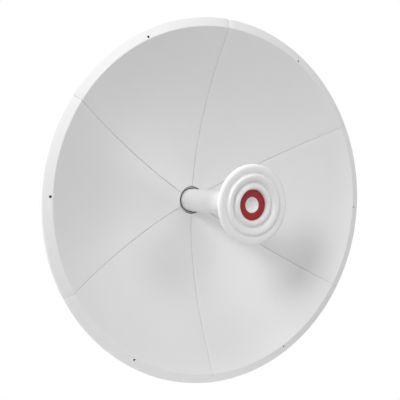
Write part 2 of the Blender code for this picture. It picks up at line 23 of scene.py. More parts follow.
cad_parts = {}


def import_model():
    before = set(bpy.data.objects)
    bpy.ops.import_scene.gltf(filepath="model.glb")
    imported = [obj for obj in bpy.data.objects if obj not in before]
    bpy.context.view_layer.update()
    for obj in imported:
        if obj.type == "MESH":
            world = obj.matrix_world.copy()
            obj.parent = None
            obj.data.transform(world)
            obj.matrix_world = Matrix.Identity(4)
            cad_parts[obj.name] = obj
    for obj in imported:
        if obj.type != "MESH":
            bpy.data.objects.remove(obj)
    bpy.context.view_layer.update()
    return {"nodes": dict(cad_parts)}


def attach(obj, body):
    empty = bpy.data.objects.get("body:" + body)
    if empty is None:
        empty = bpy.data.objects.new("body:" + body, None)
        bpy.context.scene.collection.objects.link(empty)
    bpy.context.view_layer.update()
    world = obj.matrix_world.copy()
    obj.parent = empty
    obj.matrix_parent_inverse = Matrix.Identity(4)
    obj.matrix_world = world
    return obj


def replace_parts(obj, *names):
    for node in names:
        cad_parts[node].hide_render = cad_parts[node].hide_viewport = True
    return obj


LOG = logging.getLogger("dish_antenna")
MM = 0.001
CLEARANCE = 0.3
WELD = 0.002
HEX_LIP = 0.14
HEX_CONE = ((0.0, 0.96), (0.6, 1.08), (1.0, 1.2))
WASHER_EDGE = 0.25
THREAD_DEPTH = 0.6
BODY = "root"
PHOTO_PIXELS = 400.0
SENSOR = 36.0
Colour = tuple[float, float, float]
Corners = Sequence[Sequence[float]]


class Slot(Enum):
    """The record's material slots."""

    WHITE_PAINT = "white_paint"
    WHITE_PLASTIC = "white_plastic"
    RED_PLASTIC = "red_plastic"
    CAST_METAL = "cast_metal"
    GREY_PLASTIC = "grey_plastic"
    GALVANISED = "galvanised_steel"
    BOLT_STEEL = "bolt_steel"
    PLATED_BRASS = "plated_brass"


# Shader maths


class Signal:
    """An output socket that is written in sums: each operator adds its Math node."""

    def __init__(self, kit: NodeKit, socket: bpy.types.NodeSocket) -> None:
        self.kit = kit
        self.socket = socket

    def __add__(self, other: Signal | float) -> Signal:
        """This value plus another."""
        return self.kit.maths("ADD", self, other)

    __radd__ = __add__

    def __mul__(self, other: Signal | float) -> Signal:
        """This value times another."""
        return self.kit.maths("MULTIPLY", self, other)

    __rmul__ = __mul__


class NodeKit:
    """The nodes of one material."""

    def __init__(self, name: str) -> None:
        """Start a material with a Principled shader and Object coordinates.

        Args:
            name: the material's name.
        """
        self.material = bpy.data.materials.new(name)
        self.material.use_nodes = True
        self.tree = self.material.node_tree
        self.shader = self.tree.nodes["Principled BSDF"]
        self.place = self.node("ShaderNodeTexCoord", output="Object")

    def feed(self, socket: bpy.types.NodeSocket, value: object) -> None:
        """Link a signal into a socket, or set the socket to a plain value.

        Args:
            socket: the input socket.
            value: a Signal, a number or a tuple.
        """
        if isinstance(value, Signal):
            self.tree.links.new(value.socket, socket)
        else:
            socket.default_value = value

    def node(
        self, kind: str, settings: dict[str, object] | None = None, output: int | str = 0,
        **inputs: object,
    ) -> Signal:
        """Add any node.

        Args:
            kind: the node's type.
            settings: its settings, such as a Math node's operation, set before its sockets.
            output: the output that is wanted, by name or number.
            inputs: values or signals for its sockets, by name with _ for a space, or by in_NUMBER.

        Returns:
            The wanted output.
        """
        made = self.tree.nodes.new(kind)
        for key, value in (settings or {}).items():
            setattr(made, key, value)
        for key, value in inputs.items():
            number = key.removeprefix("in_")
            socket = int(number) if number.isdigit() else key.replace("_", " ")
            self.feed(made.inputs[socket], value)
        return Signal(self, made.outputs[output])

    def maths(self, operation: str, first: object, second: object) -> Signal:
        """A Math node on two values."""
        return self.node("ShaderNodeMath", {"operation": operation}, in_0=first, in_1=second)

    def noise(
        self, size: float, detail: float = 2.0, roughness: float = 0.5, place: Signal | None = None,
    ) -> Signal:
        """Smooth noise, 0 to 1, on Object coordinates unless others are given."""
        return self.node(
            "ShaderNodeTexNoise", Vector=place or self.place, Scale=1.0 / (size * MM),
            Detail=detail, Roughness=roughness,
        )

    def tinted(self, factor: Signal, colour: Colour, share: float) -> Signal:
        """A colour that is dimmed to a share of itself where the factor is 0."""
        ends = {"in_6": (*(part * share for part in colour), 1.0), "in_7": (*colour, 1.0)}
        return self.node("ShaderNodeMix", {"data_type": "RGBA"}, 2, in_0=factor, **ends)

    def uneven(self, pattern: Signal, middle: float, spread: float) -> Signal:
        """A roughness that follows a pattern, half the spread to each side of its middle."""
        return pattern * spread + (middle - spread / 2)

    def bump(self, height: Signal, depth: float, strength: float) -> Signal:
        """A normal bumped by a relief of 0 to 1, where 1 stands for the depth."""
        return self.node("ShaderNodeBump", Height=height, Distance=depth * MM, Strength=strength)

    def dress(self, **inputs: object) -> bpy.types.Material:
        """Feed the shader's sockets, by name with _ for a space, and return the material."""
        for key, value in inputs.items():
            self.feed(self.shader.inputs[key.replace("_", " ")], value)
        return self.material


# Finishes


@dataclass(frozen=True)
class PowderCoat:
    """Satin powder coat: faint orange peel, faint cloudiness and a slightly uneven gloss."""

    name: str
    colour: Colour
    roughness: float = 0.34
    spread: float = 0.08
    patch: float = 35.0
    cloud: float = 90.0
    shade: float = 0.975
    peel: float = 1.8
    peel_depth: float = 0.01

    def material(self) -> bpy.types.Material:
        """Colour = base dimmed by clouds, roughness follows patches, normal = two sizes of peel."""
        kit = NodeKit(self.name)
        patches = kit.noise(self.patch, 4.0, 0.6)
        relief = kit.noise(self.peel, 2.0) * 0.8 + kit.noise(self.peel * 0.3, 1.0) * 0.2
        return kit.dress(
            Base_Color=kit.tinted(kit.noise(self.cloud, 3.0), self.colour, self.shade),
            Roughness=kit.uneven(patches, self.roughness, self.spread),
            Normal=kit.bump(relief, self.peel_depth, 0.6),
        )


@dataclass(frozen=True)
class MouldedPlastic:
    """Moulded plastic: the fine eroded grain of its mould and a slow flow tint."""

    name: str
    colour: Colour
    roughness: float = 0.38
    spread: float = 0.1
    flow: float = 40.0
    shade: float = 0.97
    grain: float = 0.5
    grain_depth: float = 0.006

    def material(self) -> bpy.types.Material:
        """Colour = base dimmed by slow noise, roughness and normal follow one fine grain."""
        kit = NodeKit(self.name)
        grain = kit.noise(self.grain, 3.0, 0.6)
        return kit.dress(
            Base_Color=kit.tinted(kit.noise(self.flow, 2.0), self.colour, self.shade),
            Roughness=kit.uneven(grain, self.roughness, self.spread),
            Normal=kit.bump(grain, self.grain_depth, 0.5),
        )


@dataclass(frozen=True)
class CastMetal:
    """Blasted die-cast metal: a sandy grain that is darker in its pores."""

    name: str
    colour: Colour
    metallic: float = 0.85
    roughness: float = 0.52
    spread: float = 0.2
    shade: float = 0.8
    pore: float = 1.1
    sand: float = 0.35
    sand_depth: float = 0.05

    def material(self) -> bpy.types.Material:
        """Colour and roughness follow the pores, normal = half sand + half pores."""
        kit = NodeKit(self.name)
        pores = kit.noise(self.pore, 5.0, 0.65)
        return kit.dress(
            Base_Color=kit.tinted(pores, self.colour, self.shade),
            Metallic=self.metallic,
            Roughness=kit.uneven(pores, self.roughness, self.spread),
            Normal=kit.bump(kit.noise(self.sand) * 0.5 + pores * 0.5, self.sand_depth, 0.6),
        )


@dataclass(frozen=True)
class Galvanised:
    """Hot-dip galvanised steel: crystal flakes that differ in tint and gloss."""

    name: str
    colour: Colour
    metallic: float = 0.95
    roughness: float = 0.42
    spread: float = 0.2
    shade: float = 0.74
    flake: float = 8.0
    smear: float = 2.2
    smear_depth: float = 0.03

    def material(self) -> bpy.types.Material:
        """Tone = 0.6 of each flake's own random value + 0.4 of smears, for colour and gloss."""
        kit = NodeKit(self.name)
        smear = kit.noise(self.smear, 4.0, 0.6)
        scale = 1.0 / (self.flake * MM)
        cells = kit.node("ShaderNodeTexVoronoi", None, "Color", Vector=kit.place, Scale=scale)
        tone = kit.node("ShaderNodeSeparateColor", Color=cells) * 0.6 + smear * 0.4
        return kit.dress(
            Base_Color=kit.tinted(tone, self.colour, self.shade),
            Metallic=self.metallic,
            Roughness=kit.uneven(tone, self.roughness, self.spread),
            Normal=kit.bump(smear, self.smear_depth, 0.4),
        )


@dataclass(frozen=True)
class BrightMetal:
    """Drawn or turned bright metal: fine streaks in its gloss and a slow stain."""

    name: str
    colour: Colour
    roughness: float = 0.28
    spread: float = 0.16
    stain: float = 12.0
    shade: float = 0.84
    streak: float = 1.5
    stretch: float = 12.0
    streak_depth: float = 0.01

    def material(self) -> bpy.types.Material:
        """Roughness and normal follow streaks: noise that is squeezed along Z by the stretch."""
        kit = NodeKit(self.name)
        squeezed = (1.0, 1.0, self.stretch)
        stretched = kit.node("ShaderNodeMapping", Vector=kit.place, Scale=squeezed)
        streaks = kit.noise(self.streak, 4.0, 0.6, stretched)
        return kit.dress(
            Base_Color=kit.tinted(kit.noise(self.stain, 3.0), self.colour, self.shade),
            Metallic=1.0,
            Roughness=kit.uneven(streaks, self.roughness, self.spread),
            Normal=kit.bump(streaks, self.streak_depth, 0.4),
        )


Finish = PowderCoat | MouldedPlastic | CastMetal | Galvanised | BrightMetal
FINISHES: dict[Slot, Finish] = {
    Slot.WHITE_PAINT: PowderCoat("white_paint_coat", (0.86, 0.86, 0.87)),
    Slot.WHITE_PLASTIC: MouldedPlastic("white_plastic_moulding", (0.88, 0.88, 0.88)),
    Slot.RED_PLASTIC: MouldedPlastic("red_plastic_moulding", (0.36, 0.012, 0.014), 0.42),
    Slot.CAST_METAL: CastMetal("cast_metal_skin", (0.62, 0.63, 0.64)),
    Slot.GREY_PLASTIC: MouldedPlastic("grey_plastic_moulding", (0.50, 0.51, 0.52), 0.45),
    Slot.GALVANISED: Galvanised("galvanised_skin", (0.66, 0.68, 0.69)),
    Slot.BOLT_STEEL: BrightMetal("bolt_steel_skin", (0.70, 0.70, 0.68)),
    Slot.PLATED_BRASS: BrightMetal("plated_brass_skin", (0.80, 0.78, 0.72), 0.2),
}
INSULATOR = MouldedPlastic("insulator_white", (0.86, 0.85, 0.82), 0.5)
ZINC = BrightMetal("zinc_plated_steel", (0.72, 0.74, 0.78), 0.34)
# Near-black steel for the rim nuts: painted shade that makes the rim holes read dark.
HOLE_SHADE_BLACK = BrightMetal("hole_shade_black_steel", (0.05, 0.05, 0.055), 0.45)
# Near-black rubber for the rings beside the collar's lip: painted shade in the gaps round the tube's
# foot.
GAP_SHADE_RUBBER = MouldedPlastic("gap_shade_rubber", (0.02, 0.02, 0.02), 0.6)


@functools.cache
def material_of(finish: Finish) -> bpy.types.Material:
    """A finish's material, made the first time it is asked for."""
    return finish.material()


# Shapes worked out as arrays


def turns(steps: int) -> np.ndarray:
    """The angles of a full turn, 1 x steps."""
    return np.linspace(0.0, math.tau, steps, endpoint=False)[None]


def unit(vectors: np.ndarray) -> np.ndarray:
    """Vectors brought to length 1."""
    return vectors / np.linalg.norm(vectors, axis=-1, keepdims=True)


def hexagonal(flat: float, angle: np.ndarray) -> np.ndarray:
    """Radius of a hexagon = half its width across flats / cos(angle from the nearest flat)."""
    return flat / np.cos((angle + math.pi / 6) % (math.pi / 3) - math.pi / 6)


def saw(height: np.ndarray, angle: np.ndarray, pitch: float) -> np.ndarray:
    """A thread's relief: 0 to 1 and back once a pitch, wound up by one pitch in each full turn."""
    return np.abs((height / pitch - angle / math.tau) % 1.0 * 2.0 - 1.0)


def filleted(corners: Corners, closed: bool = True, steps: int = 5) -> np.ndarray:
    """A polyline with round corners.

    A fillet is the arc that touches both of a corner's sides. It starts radius * tan(turn / 2) from
    the corner, held to just under half of the shorter side.

    Args:
        corners: (x, y) or (x, y, fillet radius) in order.
        closed: whether the last corner joins the first.
        steps: segments in each arc.

    Returns:
        N x 2 points.
    """
    flat = np.array([corner[:2] for corner in corners], float)
    out: list[np.ndarray] = []
    for n, corner in enumerate(corners):
        radius = corner[2] if len(corner) > 2 else 0.0
        if radius <= 0.0 or (not closed and n in (0, len(corners) - 1)):
            out.append(flat[n][None])
            continue
        before, after = flat[n - 1] - flat[n], flat[(n + 1) % len(corners)] - flat[n]
        a, b = unit(before), unit(after)
        turn = math.pi - math.acos(float(np.clip(a @ b, -1.0, 1.0)))
        most = 0.49 * min(np.linalg.norm(before), np.linalg.norm(after))
        reach = min(radius * math.tan(turn / 2), most)
        radius = reach / math.tan(turn / 2)
        centre = flat[n] + unit(a + b) * radius / math.cos(turn / 2)
        start, end = flat[n] + a * reach - centre, flat[n] + b * reach - centre
        t = np.linspace(0.0, 1.0, steps + 1)[:, None]
        arc = np.sin((1 - t) * turn) * start + np.sin(t * turn) * end
        out.append(centre + arc / math.sin(turn))
    return np.concatenate(out)


def rounded_square(half: float, radius: float, steps: int = 5) -> np.ndarray:
    """The outline of a square with round corners, anticlockwise."""
    signs = ((1, -1), (1, 1), (-1, 1), (-1, -1))
    return filleted([(half * x, half * y, radius) for x, y in signs], steps=steps)


def standing(origin: Sequence[float], along: Sequence[float]) -> np.ndarray:
    """A 4 x 4 matrix whose local +Z runs along a direction from an origin."""
    turn = Vector(along).to_track_quat("Z", "Y").to_matrix().to_4x4()
    return np.array(Matrix.Translation(Vector(origin)) @ turn)


def placed(points: np.ndarray, place: np.ndarray) -> np.ndarray:
    """Points moved by a 4 x 4 matrix, whatever their leading shape."""
    return points @ place[:3, :3].T + place[:3, 3]


class Draft:
    """Grids of points gathered into one mesh piece."""

    def __init__(self) -> None:
        """Start empty."""
        self.points: list[np.ndarray] = []
        self.quads: list[np.ndarray] = []
        self.ends: list[list[int]] = []
        self.count = 0

    def add(self, points: np.ndarray, quads: np.ndarray) -> int:
        """Add points with the quads that join them.

        Args:
            points: N x 3 points in the world.
            quads: M x 4 point numbers, 0 being the first of these points.

        Returns:
            The number of the first point in the whole draft.
        """
        first = self.count
        self.points.append(points.reshape(-1, 3))
        self.quads.append(quads + first)
        self.count += len(self.points[-1])
        return first

    def grid(self, points: np.ndarray, ends: bool = False) -> None:
        """Add a grid whose neighbours are joined by quads and whose rows are closed loops.

        Args:
            points: rows x columns x 3.
            ends: whether the first and last rows are filled.
        """
        rows, columns = points.shape[:2]
        i, j = np.arange(rows - 1)[:, None] * columns, np.arange(columns)[None]
        k = (j + 1) % columns
        quads = np.stack([i + j, i + k, i + columns + k, i + columns + j], -1)
        first = self.add(points, quads.reshape(-1, 4))
        if ends:
            last = first + (rows - 1) * columns
            self.ends += [list(range(start, start + columns)) for start in (first, last)]

    def lathe(
        self, radius: np.ndarray, height: np.ndarray, angle: np.ndarray, place: np.ndarray,
    ) -> None:
        """Add a grid, point = (radius cos a, radius sin a, height), from arrays of one shape."""
        radius, height, angle = np.broadcast_arrays(radius, height, angle)
        points = np.stack([radius * np.cos(angle), radius * np.sin(angle), height], -1)
        self.grid(placed(points, place))

    def turned(
        self, profile: np.ndarray, place: np.ndarray, steps: int = 72, ring: bool = True,
    ) -> None:
        """Add a turned shape.

        Args:
            profile: N x 2 points (radius, height).
            place: the matrix that places it.
            steps: segments round the axis.
            ring: whether the last point joins the first; without it both ends lie on the axis.
        """
        loop = np.concatenate([profile, profile[:1]]) if ring else profile
        self.lathe(loop[:, :1], loop[:, 1:], turns(steps), place)

    def stacked(self, rows: Sequence[tuple], place: np.ndarray, steps: int = 48) -> None:
        """Add rings that are joined in order.

        Args:
            rows: (height, radius), where the radius is a number or has a value for each angle.
            place: the matrix that places them.
            steps: segments round the axis.
        """
        radius = np.concatenate([reach + np.zeros((1, steps)) for _, reach in rows])
        self.lathe(radius, np.array([level for level, _ in rows])[:, None], turns(steps), place)

    def hexagon(self, place: np.ndarray, flat: float, height: float, bore: float = 0.0) -> None:
        """Add a hexagonal head or nut with its corners turned down at both faces.

        Radius = the smaller of the hexagon's and that of a cone that narrows towards each face, so
        the corners fade into a circle.

        Args:
            place: the matrix that places it, its base at local height 0.
            flat: half its width across flats.
            height: its thickness.
            bore: the radius of its hole, 0 for a head.
        """
        side = hexagonal(flat, turns(48))
        cone = [(flat * HEX_LIP * part, share) for part, share in HEX_CONE]
        cone += [(height - level, share) for level, share in reversed(cone)]
        rows = [(level, np.minimum(side, flat * share)) for level, share in cone]
        closing = [(0.0, bore)] if bore > 0.0 else []
        self.stacked([(0.0, bore), *rows, (height, bore), *closing], place)

    def washer(self, place: np.ndarray, outer: float, bore: float, height: float) -> None:
        """Add a flat washer with its edges just broken."""
        corners = ((outer, height), (outer, 0.0), (bore, 0.0), (bore, height))
        broken = [(*corner, height * WASHER_EDGE) for corner in corners]
        self.turned(filleted(broken, steps=2), place, 40)

    def thread(self, place: np.ndarray, radius: float, length: float, pitch: float) -> None:
        """Add a threaded stud from local height 0 up.

        Radius = outer radius - thread depth * pitch * saw, and the crests fade over the last pitch.

        Args:
            place: the matrix that places it.
            radius: the radius over the crests.
            length: the stud's length.
            pitch: the height of one turn.
        """
        rows, steps = max(5, int(round(length / pitch * 4)) + 1), 24
        height = np.linspace(0.0, length, rows)[:, None]
        fade = np.clip((length - height) / pitch, 0.0, 1.0)
        relief = saw(height, turns(steps), pitch) * fade + 1.0 - fade
        cut = radius - THREAD_DEPTH * pitch * relief
        self.stacked([(0.0, 0.0), *zip(height[:, 0], cut), (length, 0.0)], place, steps)

    def loft(self, outline: np.ndarray, rows: Corners, place: np.ndarray) -> None:
        """Add a block: the outline moved inwards by each row's inset, at that row's height.

        Args:
            outline: N x 2 points of a closed outline, anticlockwise.
            rows: (inset, height) from the base up.
            place: the matrix that places it.
        """
        side = unit(np.roll(outline, -1, 0) - np.roll(outline, 1, 0))
        inset, level = np.array(rows, float).T[:, :, None, None]
        flat = outline + np.stack([-side[:, 1], side[:, 0]], -1) * inset
        self.grid(placed(np.concatenate([flat, level + 0 * flat[..., :1]], -1), place), ends=True)

    def tube(self, path: np.ndarray, radius: float, up: Sequence[float], steps: int) -> None:
        """Add a rod along a flat path: point = path + radius (cos a * side + sin a * up).

        Args:
            path: N x 3 points in one plane.
            radius: the rod's radius.
            up: the plane's normal.
            steps: segments round the rod.
        """
        side = np.cross(unit(np.gradient(path, axis=0)), np.array(up, float))
        angle = turns(steps)[..., None]
        ring = np.cos(angle) * side[:, None] + np.sin(angle) * np.array(up, float)
        self.grid(path[:, None] + radius * ring, ends=True)

    def piece(
        self, name: str, slot: Slot, finish: Finish | None = None, smooth: float = 32.0,
    ) -> bpy.types.Object:
        """Make the piece: one mesh, its doubles merged and its faces turned outwards.

        Args:
            name: the piece's name.
            slot: the record's slot of its finish.
            finish: a finish other than the slot's own.
            smooth: the angle in degrees under which an edge is shaded smooth.

        Returns:
            The piece.
        """
        mesh = bpy.data.meshes.new(name)
        faces = np.concatenate(self.quads).tolist() + self.ends
        mesh.from_pydata((np.concatenate(self.points) * MM).tolist(), [], faces)
        shape = bmesh.new()
        shape.from_mesh(mesh)
        bmesh.ops.remove_doubles(shape, verts=shape.verts, dist=WELD * MM)
        bmesh.ops.recalc_face_normals(shape, faces=shape.faces)
        shape.to_mesh(mesh)
        shape.free()
        return install(name, mesh, slot, finish, smooth)


def install(
    name: str, mesh: bpy.types.Mesh, slot: Slot, finish: Finish | None = None, smooth: float = 32.0,
) -> bpy.types.Object:
    """Put a finished mesh in the scene as a piece of the antenna, riding on its one body.

    Args:
        name: the piece's name.
        mesh: its mesh, in world coordinates.
        slot: the record's slot of its finish.
        finish: a finish other than the slot's own.
        smooth: the angle in degrees under which an edge is shaded smooth.

    Returns:
        The piece.
    """
    mesh.materials.clear()
    mesh.materials.append(material_of(finish or FINISHES[slot]))
    mesh.shade_smooth()
    mesh.set_sharp_from_angle(angle=math.radians(smooth))
    made = bpy.data.objects.new(name, mesh)
    bpy.context.scene.collection.objects.link(made)
    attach(made, BODY)
    LOG.info("%s: %d faces", name, len(mesh.polygons))
    return made


def turned_piece(
    name: str, slot: Slot, corners: Corners, place: np.ndarray, steps: int = 96, ring: bool = True,
    finish: Finish | None = None, arc: int = 5,
) -> bpy.types.Object:
    """Make a piece that is one turned outline with round corners.

    Args:
        name: the piece's name.
        slot: the record's slot of its finish.
        corners: (radius, height) or (radius, height, fillet radius) in order.
        place: the matrix that places it.
        steps: segments round the axis.
        ring: whether the outline is closed; without it both ends lie on the axis.
        finish: a finish other than the slot's own.
        arc: segments in each fillet.

    Returns:
        The piece.
    """
    draft = Draft()
    draft.turned(filleted(corners, ring, arc), place, steps, ring)
    return draft.piece(name, slot, finish)


@dataclass(frozen=True)
class PanHead:
    """A round screw head: the wall and floor are shares of its height, the crown and socket of its
    radius, and the dome's arc is in radians.
    """

    radius: float
    height: float
    wall: float = 0.35
    crown: float = 0.35
    arc: float = 1.2
    socket: float = 0.42
    floor: float = 0.4

    def add(self, draft: Draft, place: np.ndarray) -> None:
        """Add the head with a hexagonal socket sunk in its top.

        Over the dome's arc, level = height (wall + (1 - wall) sin a / sin arc) and the reach is
        radius (1 - crown (1 - cos a)).

        Args:
            draft: the piece that it goes into.
            place: the matrix that places its base.
        """
        turn = np.linspace(0.0, self.arc, 5)
        level = self.height * (self.wall + (1 - self.wall) * np.sin(turn) / math.sin(self.arc))
        dome = zip(level, self.radius * (1 - self.crown * (1 - np.cos(turn))))
        socket, floor = hexagonal(self.radius * self.socket, turns(48)), self.height * self.floor
        well = [(self.height, socket), (floor, socket), (floor, 0.0)]
        draft.stacked([(0.0, 0.0), (0.0, self.radius), *dome, *well], place)


@dataclass(frozen=True)
class Bolt:
    """A hexagon bolt: shank radius, half width across flats, washer and the heights of its ends."""

    shank: float
    flat: float
    washer: tuple[float, float]
    head: float = 0.0
    nut: float = 0.0
    tail: float = 0.0
    pitch: float = 1.25
    play: float = 0.05

    def add(self, draft: Draft, place: np.ndarray, nut: bool = False) -> None:
        """Add a washer and a head on it, or a washer, a nut and the threaded tail.

        Args:
            draft: the piece that they go into.
            place: the matrix that places the washer's foot, local +Z pointing outwards.
            nut: whether this is the end with the nut.
        """
        outer, thick = self.washer
        draft.washer(place, outer, self.shank, thick)
        seat = place.copy()
        seat[:3, 3] += place[:3, 2] * thick
        if nut:
            draft.hexagon(seat, self.flat, self.nut, self.shank)
            draft.thread(place, self.shank - self.play, self.tail, self.pitch)
        else:
            draft.hexagon(seat, self.flat, self.head)


# The dish's geometry, shared by its pieces


@dataclass(frozen=True)
class Bowl:
    """The paraboloid of the reflector's front face, height = radius squared / (4 focal length)."""

    vertex_y: float = -165.0
    focal_length: float = 217.0

    def height(self, radius: np.ndarray | float) -> np.ndarray | float:
        """Height of the front face at a radius."""
        return radius**2 / (4 * self.focal_length)

    def slope(self, radius: float) -> float:
        """Angle of the front face to the dish's plane at a radius."""
        return math.atan(radius / (2 * self.focal_length))

    def behind(self, radius: float, depth: float) -> float:
        """Height of a face that lies a depth behind the front face, measured square to it."""
        return self.height(radius) - depth / math.cos(self.slope(radius))

    def world(self) -> np.ndarray:
        """The matrix from dish coordinates to the world."""
        rows = [[1, 0, 0, 0], [0, 0, -1, self.vertex_y], [0, 1, 0, 0], [0, 0, 0, 1]]
        return np.array(rows, float)

    def on_back(
        self, radius: float, angle: float, depth: float, face: tuple[float, float] | None = None,
    ) -> np.ndarray:
        """A matrix behind the sheet, its local +Z square to the sheet and pointing backwards.

        Args:
            radius: distance from the boresight.
            angle: angle round the boresight in degrees.
            depth: how far behind the front face, square to it.
            face: the front face's height and slope there, the bowl's own unless given.

        Returns:
            The matrix, in the world.
        """
        height, slope = face or (self.height(radius), self.slope(radius))
        turn = math.radians(angle)
        out = np.array([math.cos(turn), math.sin(turn), 0.0])
        up = np.array([0.0, 0.0, 1.0])
        back = out * math.sin(slope) - up * math.cos(slope)
        place, spot = self.world(), out * radius + up * height + back * depth
        return standing(placed(spot, place), place[:3, :3] @ back)


# Sub-assemblies


@dataclass
class Petals:
    """Six pressed petals: bowl, ridge, rim band, skirt and the joint flanges behind both seams."""

    bowl: Bowl
    count: int = 6
    sheet: float = 1.5
    ridge: float = 307.8
    ridge_lead: float = 2.5
    rim: float = 325.0
    band_drop: float = 6.0
    bend: float = 2.0
    skirt_end: float = 11.0
    bowl_rows: tuple[tuple[float, float, int], ...] = (
        (26.3, 99.2, 14), (100.0, 100.0, 1), (104.0, 124.75, 4), (130.0, 273.25, 24),
        (278.0, 298.0, 4), (298.8, 302.0, 2),
    )
    band_rows: tuple[float, ...] = (316.0, 318.5, 321.0)
    spacing: float = 2.5
    last_column: float = 27.5
    seam_gap: tuple[float, float] = (0.8, 0.35)
    seam_narrows: tuple[float, float] = (120.0, 290.0)
    seam_fold: float = 0.45
    rim_fold: float = 0.35
    rim_fold_start: float = 300.0
    seam_room: float = 2.1
    seam_share: float = 0.9
    foot_gap: float = 0.06
    inner_round: float = 0.3
    fold_points: int = 5
    hole_points: int = 5
    hole_radius: float = 2.2
    hole_circle: float = 311.7
    flange_depths: tuple[tuple[float, float], ...] = (
        (99.2, 1.5), (100.0, 4.0), (124.75, 12.0), (273.25, 12.0), (298.0, 4.0), (298.8, 1.5),
    )

    def band_slope(self) -> float:
        """Angle of the rim band to the dish's plane."""
        return math.atan(self.band_drop / (self.rim - self.ridge))

    def band(self, radius: np.ndarray | float) -> np.ndarray | float:
        """Height of the rim band at a radius."""
        return self.bowl.height(self.ridge) - (radius - self.ridge) * math.tan(self.band_slope())

    def profile(self) -> np.ndarray:
        """The front face's section: parabola, arc at the ridge, band, arc at the edge, skirt.

        Returns:
            N x 2 points (radius, height).
        """
        top = self.bowl.height(self.ridge)
        radii = np.concatenate([np.linspace(*rows) for rows in self.bowl_rows])
        start = self.ridge - self.ridge_lead
        corner = (self.rim, self.band(self.rim), self.bend)
        before = (start, self.bowl.height(start))
        ridge = filleted([before, (self.ridge, top, self.bend), corner[:2]], False)[:-1]
        grip = np.linspace(-self.hole_radius, self.hole_radius, self.hole_points)
        rows = np.concatenate([self.hole_circle + grip, self.band_rows])
        flat = np.stack([rows, self.band(rows)], -1)
        edge = filleted([flat[-1], corner, (self.rim, top - self.skirt_end)], False)[1:]
        return np.concatenate([np.stack([radii, self.bowl.height(radii)], -1), ridge, flat, edge])

    def sides(self, profile: np.ndarray, normal: np.ndarray) -> list[np.ndarray]:
        """Both faces of the sheet where it folds back at the seam on the petal's left, row by row.

        A point lies at a distance from the seam's plane and a depth behind the front face. The
        front face follows a quarter circle: distance = half gap + fold (1 - cos a) and
        depth = fold (1 - sin a). The back face comes from the flange's foot, where the flanges all
        but touch, up its inner side and round a tight inner corner. Near the hub, where the petal
        is narrow, both draw together.

        Args:
            profile: N x 2 front section.
            normal: N x 2 unit normals of the section.

        Returns:
            The front and the back face, each N x 5 x 3.
        """
        radius, half = profile[:, :1], math.pi / self.count
        flange = np.interp(radius, *np.transpose(self.flange_depths))
        half_gap = np.interp(radius, self.seam_narrows, self.seam_gap) / 2
        narrow = self.seam_share * radius * math.sin(math.radians(self.spacing))
        room = np.minimum(1.0, narrow / self.seam_room)
        fold = np.where(radius < self.rim_fold_start, self.seam_fold, self.rim_fold) * room
        quarter = np.linspace(0.0, math.pi / 2, self.fold_points)[None]
        corner = np.linspace(0.0, math.pi / 2, self.fold_points - 2)[None]
        inside = self.sheet + self.inner_round * (1 - np.cos(corner)) + 0 * radius
        away = half_gap + np.concatenate([0 * radius, self.sheet + 0 * radius, inside], 1) * room
        before_flange = radius < self.flange_depths[1][0]
        away[:, :1] = np.where(before_flange, half_gap, self.foot_gap / 2)
        arc = np.minimum(flange, self.sheet + self.inner_round * (1 - np.sin(corner)))
        faces = []
        for far, deep in (
            (half_gap + fold * (1 - np.cos(quarter)), fold * (1 - np.sin(quarter))),
            (away, np.concatenate([flange, flange, arc], 1)),
        ):
            reach, height = np.moveaxis(profile[:, None] - deep[..., None] * normal[:, None], -1, 0)
            run = np.sqrt(reach**2 - far**2)
            x = run * math.cos(half) + far * math.sin(half)
            y = run * math.sin(half) - far * math.cos(half)
            faces.append(np.stack([x, y, height], -1))
        return faces

    def shell(self) -> tuple[np.ndarray, np.ndarray]:
        """One petal about angle 0 in dish coordinates, as a closed mesh.

        The square block of points at the rim hole has its border moved onto the hole, offset from
        the centre * hole radius / its length, and the cells inside it are left out.

        Returns:
            N x 3 points and M x 4 quads.
        """
        profile = self.profile()
        step = unit(np.diff(profile, axis=0))
        run = unit(np.concatenate([step[:1], step[:-1] + step[1:], step[-1:]]))
        normal = np.stack([-run[:, 1], run[:, 0]], -1)
        grip = math.degrees(self.hole_radius / self.hole_circle)
        wide = np.arange(self.spacing, self.last_column + self.spacing / 2, self.spacing)
        block, first = self.hole_points, self.fold_points + len(wide)
        near = np.linspace(-grip, grip, block)
        angles = np.radians(np.concatenate([-wide[::-1], near, wide]))[None]
        row = int(np.argmin(np.abs(profile[:, 0] - self.hole_circle + self.hole_radius)))
        hole = np.s_[row:row + block, first:first + block]
        border = np.ones((block, block, 1), bool)
        border[1:-1, 1:-1] = False
        faces = []
        for left, deep in zip(self.sides(profile, normal), (0.0, self.sheet)):
            spot = profile - normal * deep
            radius, height = spot[:, :1], spot[:, 1:] + 0 * angles
            middle = np.stack([radius * np.cos(angles), radius * np.sin(angles), height], -1)
            face = np.concatenate([left * np.array([1.0, -1.0, 1.0]), middle, left[:, ::-1]], 1)
            centre = face[hole][block // 2, block // 2].copy()
            offset = face[hole] - centre
            long = np.maximum(np.linalg.norm(offset, axis=-1, keepdims=True), WELD)
            face[hole] = centre + offset * np.where(border, self.hole_radius / long, 1.0)
            faces.append(face.reshape(-1, 3))
        number = np.arange(len(faces[0])).reshape(len(profile), -1)
        cells = np.stack([number[:-1, :-1], number[:-1, 1:], number[1:, 1:], number[1:, :-1]], -1)
        solid = np.ones(cells.shape[:2], bool)
        solid[row:row + block - 1, first:first + block - 1] = False
        far = number.size
        walls = [cells[solid], cells[solid][:, ::-1] + far]
        for part in (number, number[hole]):
            loop = [part[0], part[1:, -1], part[-1, -2::-1], part[-2:0:-1, 0]]
            loop = np.concatenate(loop)
            after = np.roll(loop, -1)
            walls.append(np.stack([loop, after, after + far, loop + far], -1))
        return np.concatenate(faces), np.concatenate(walls)

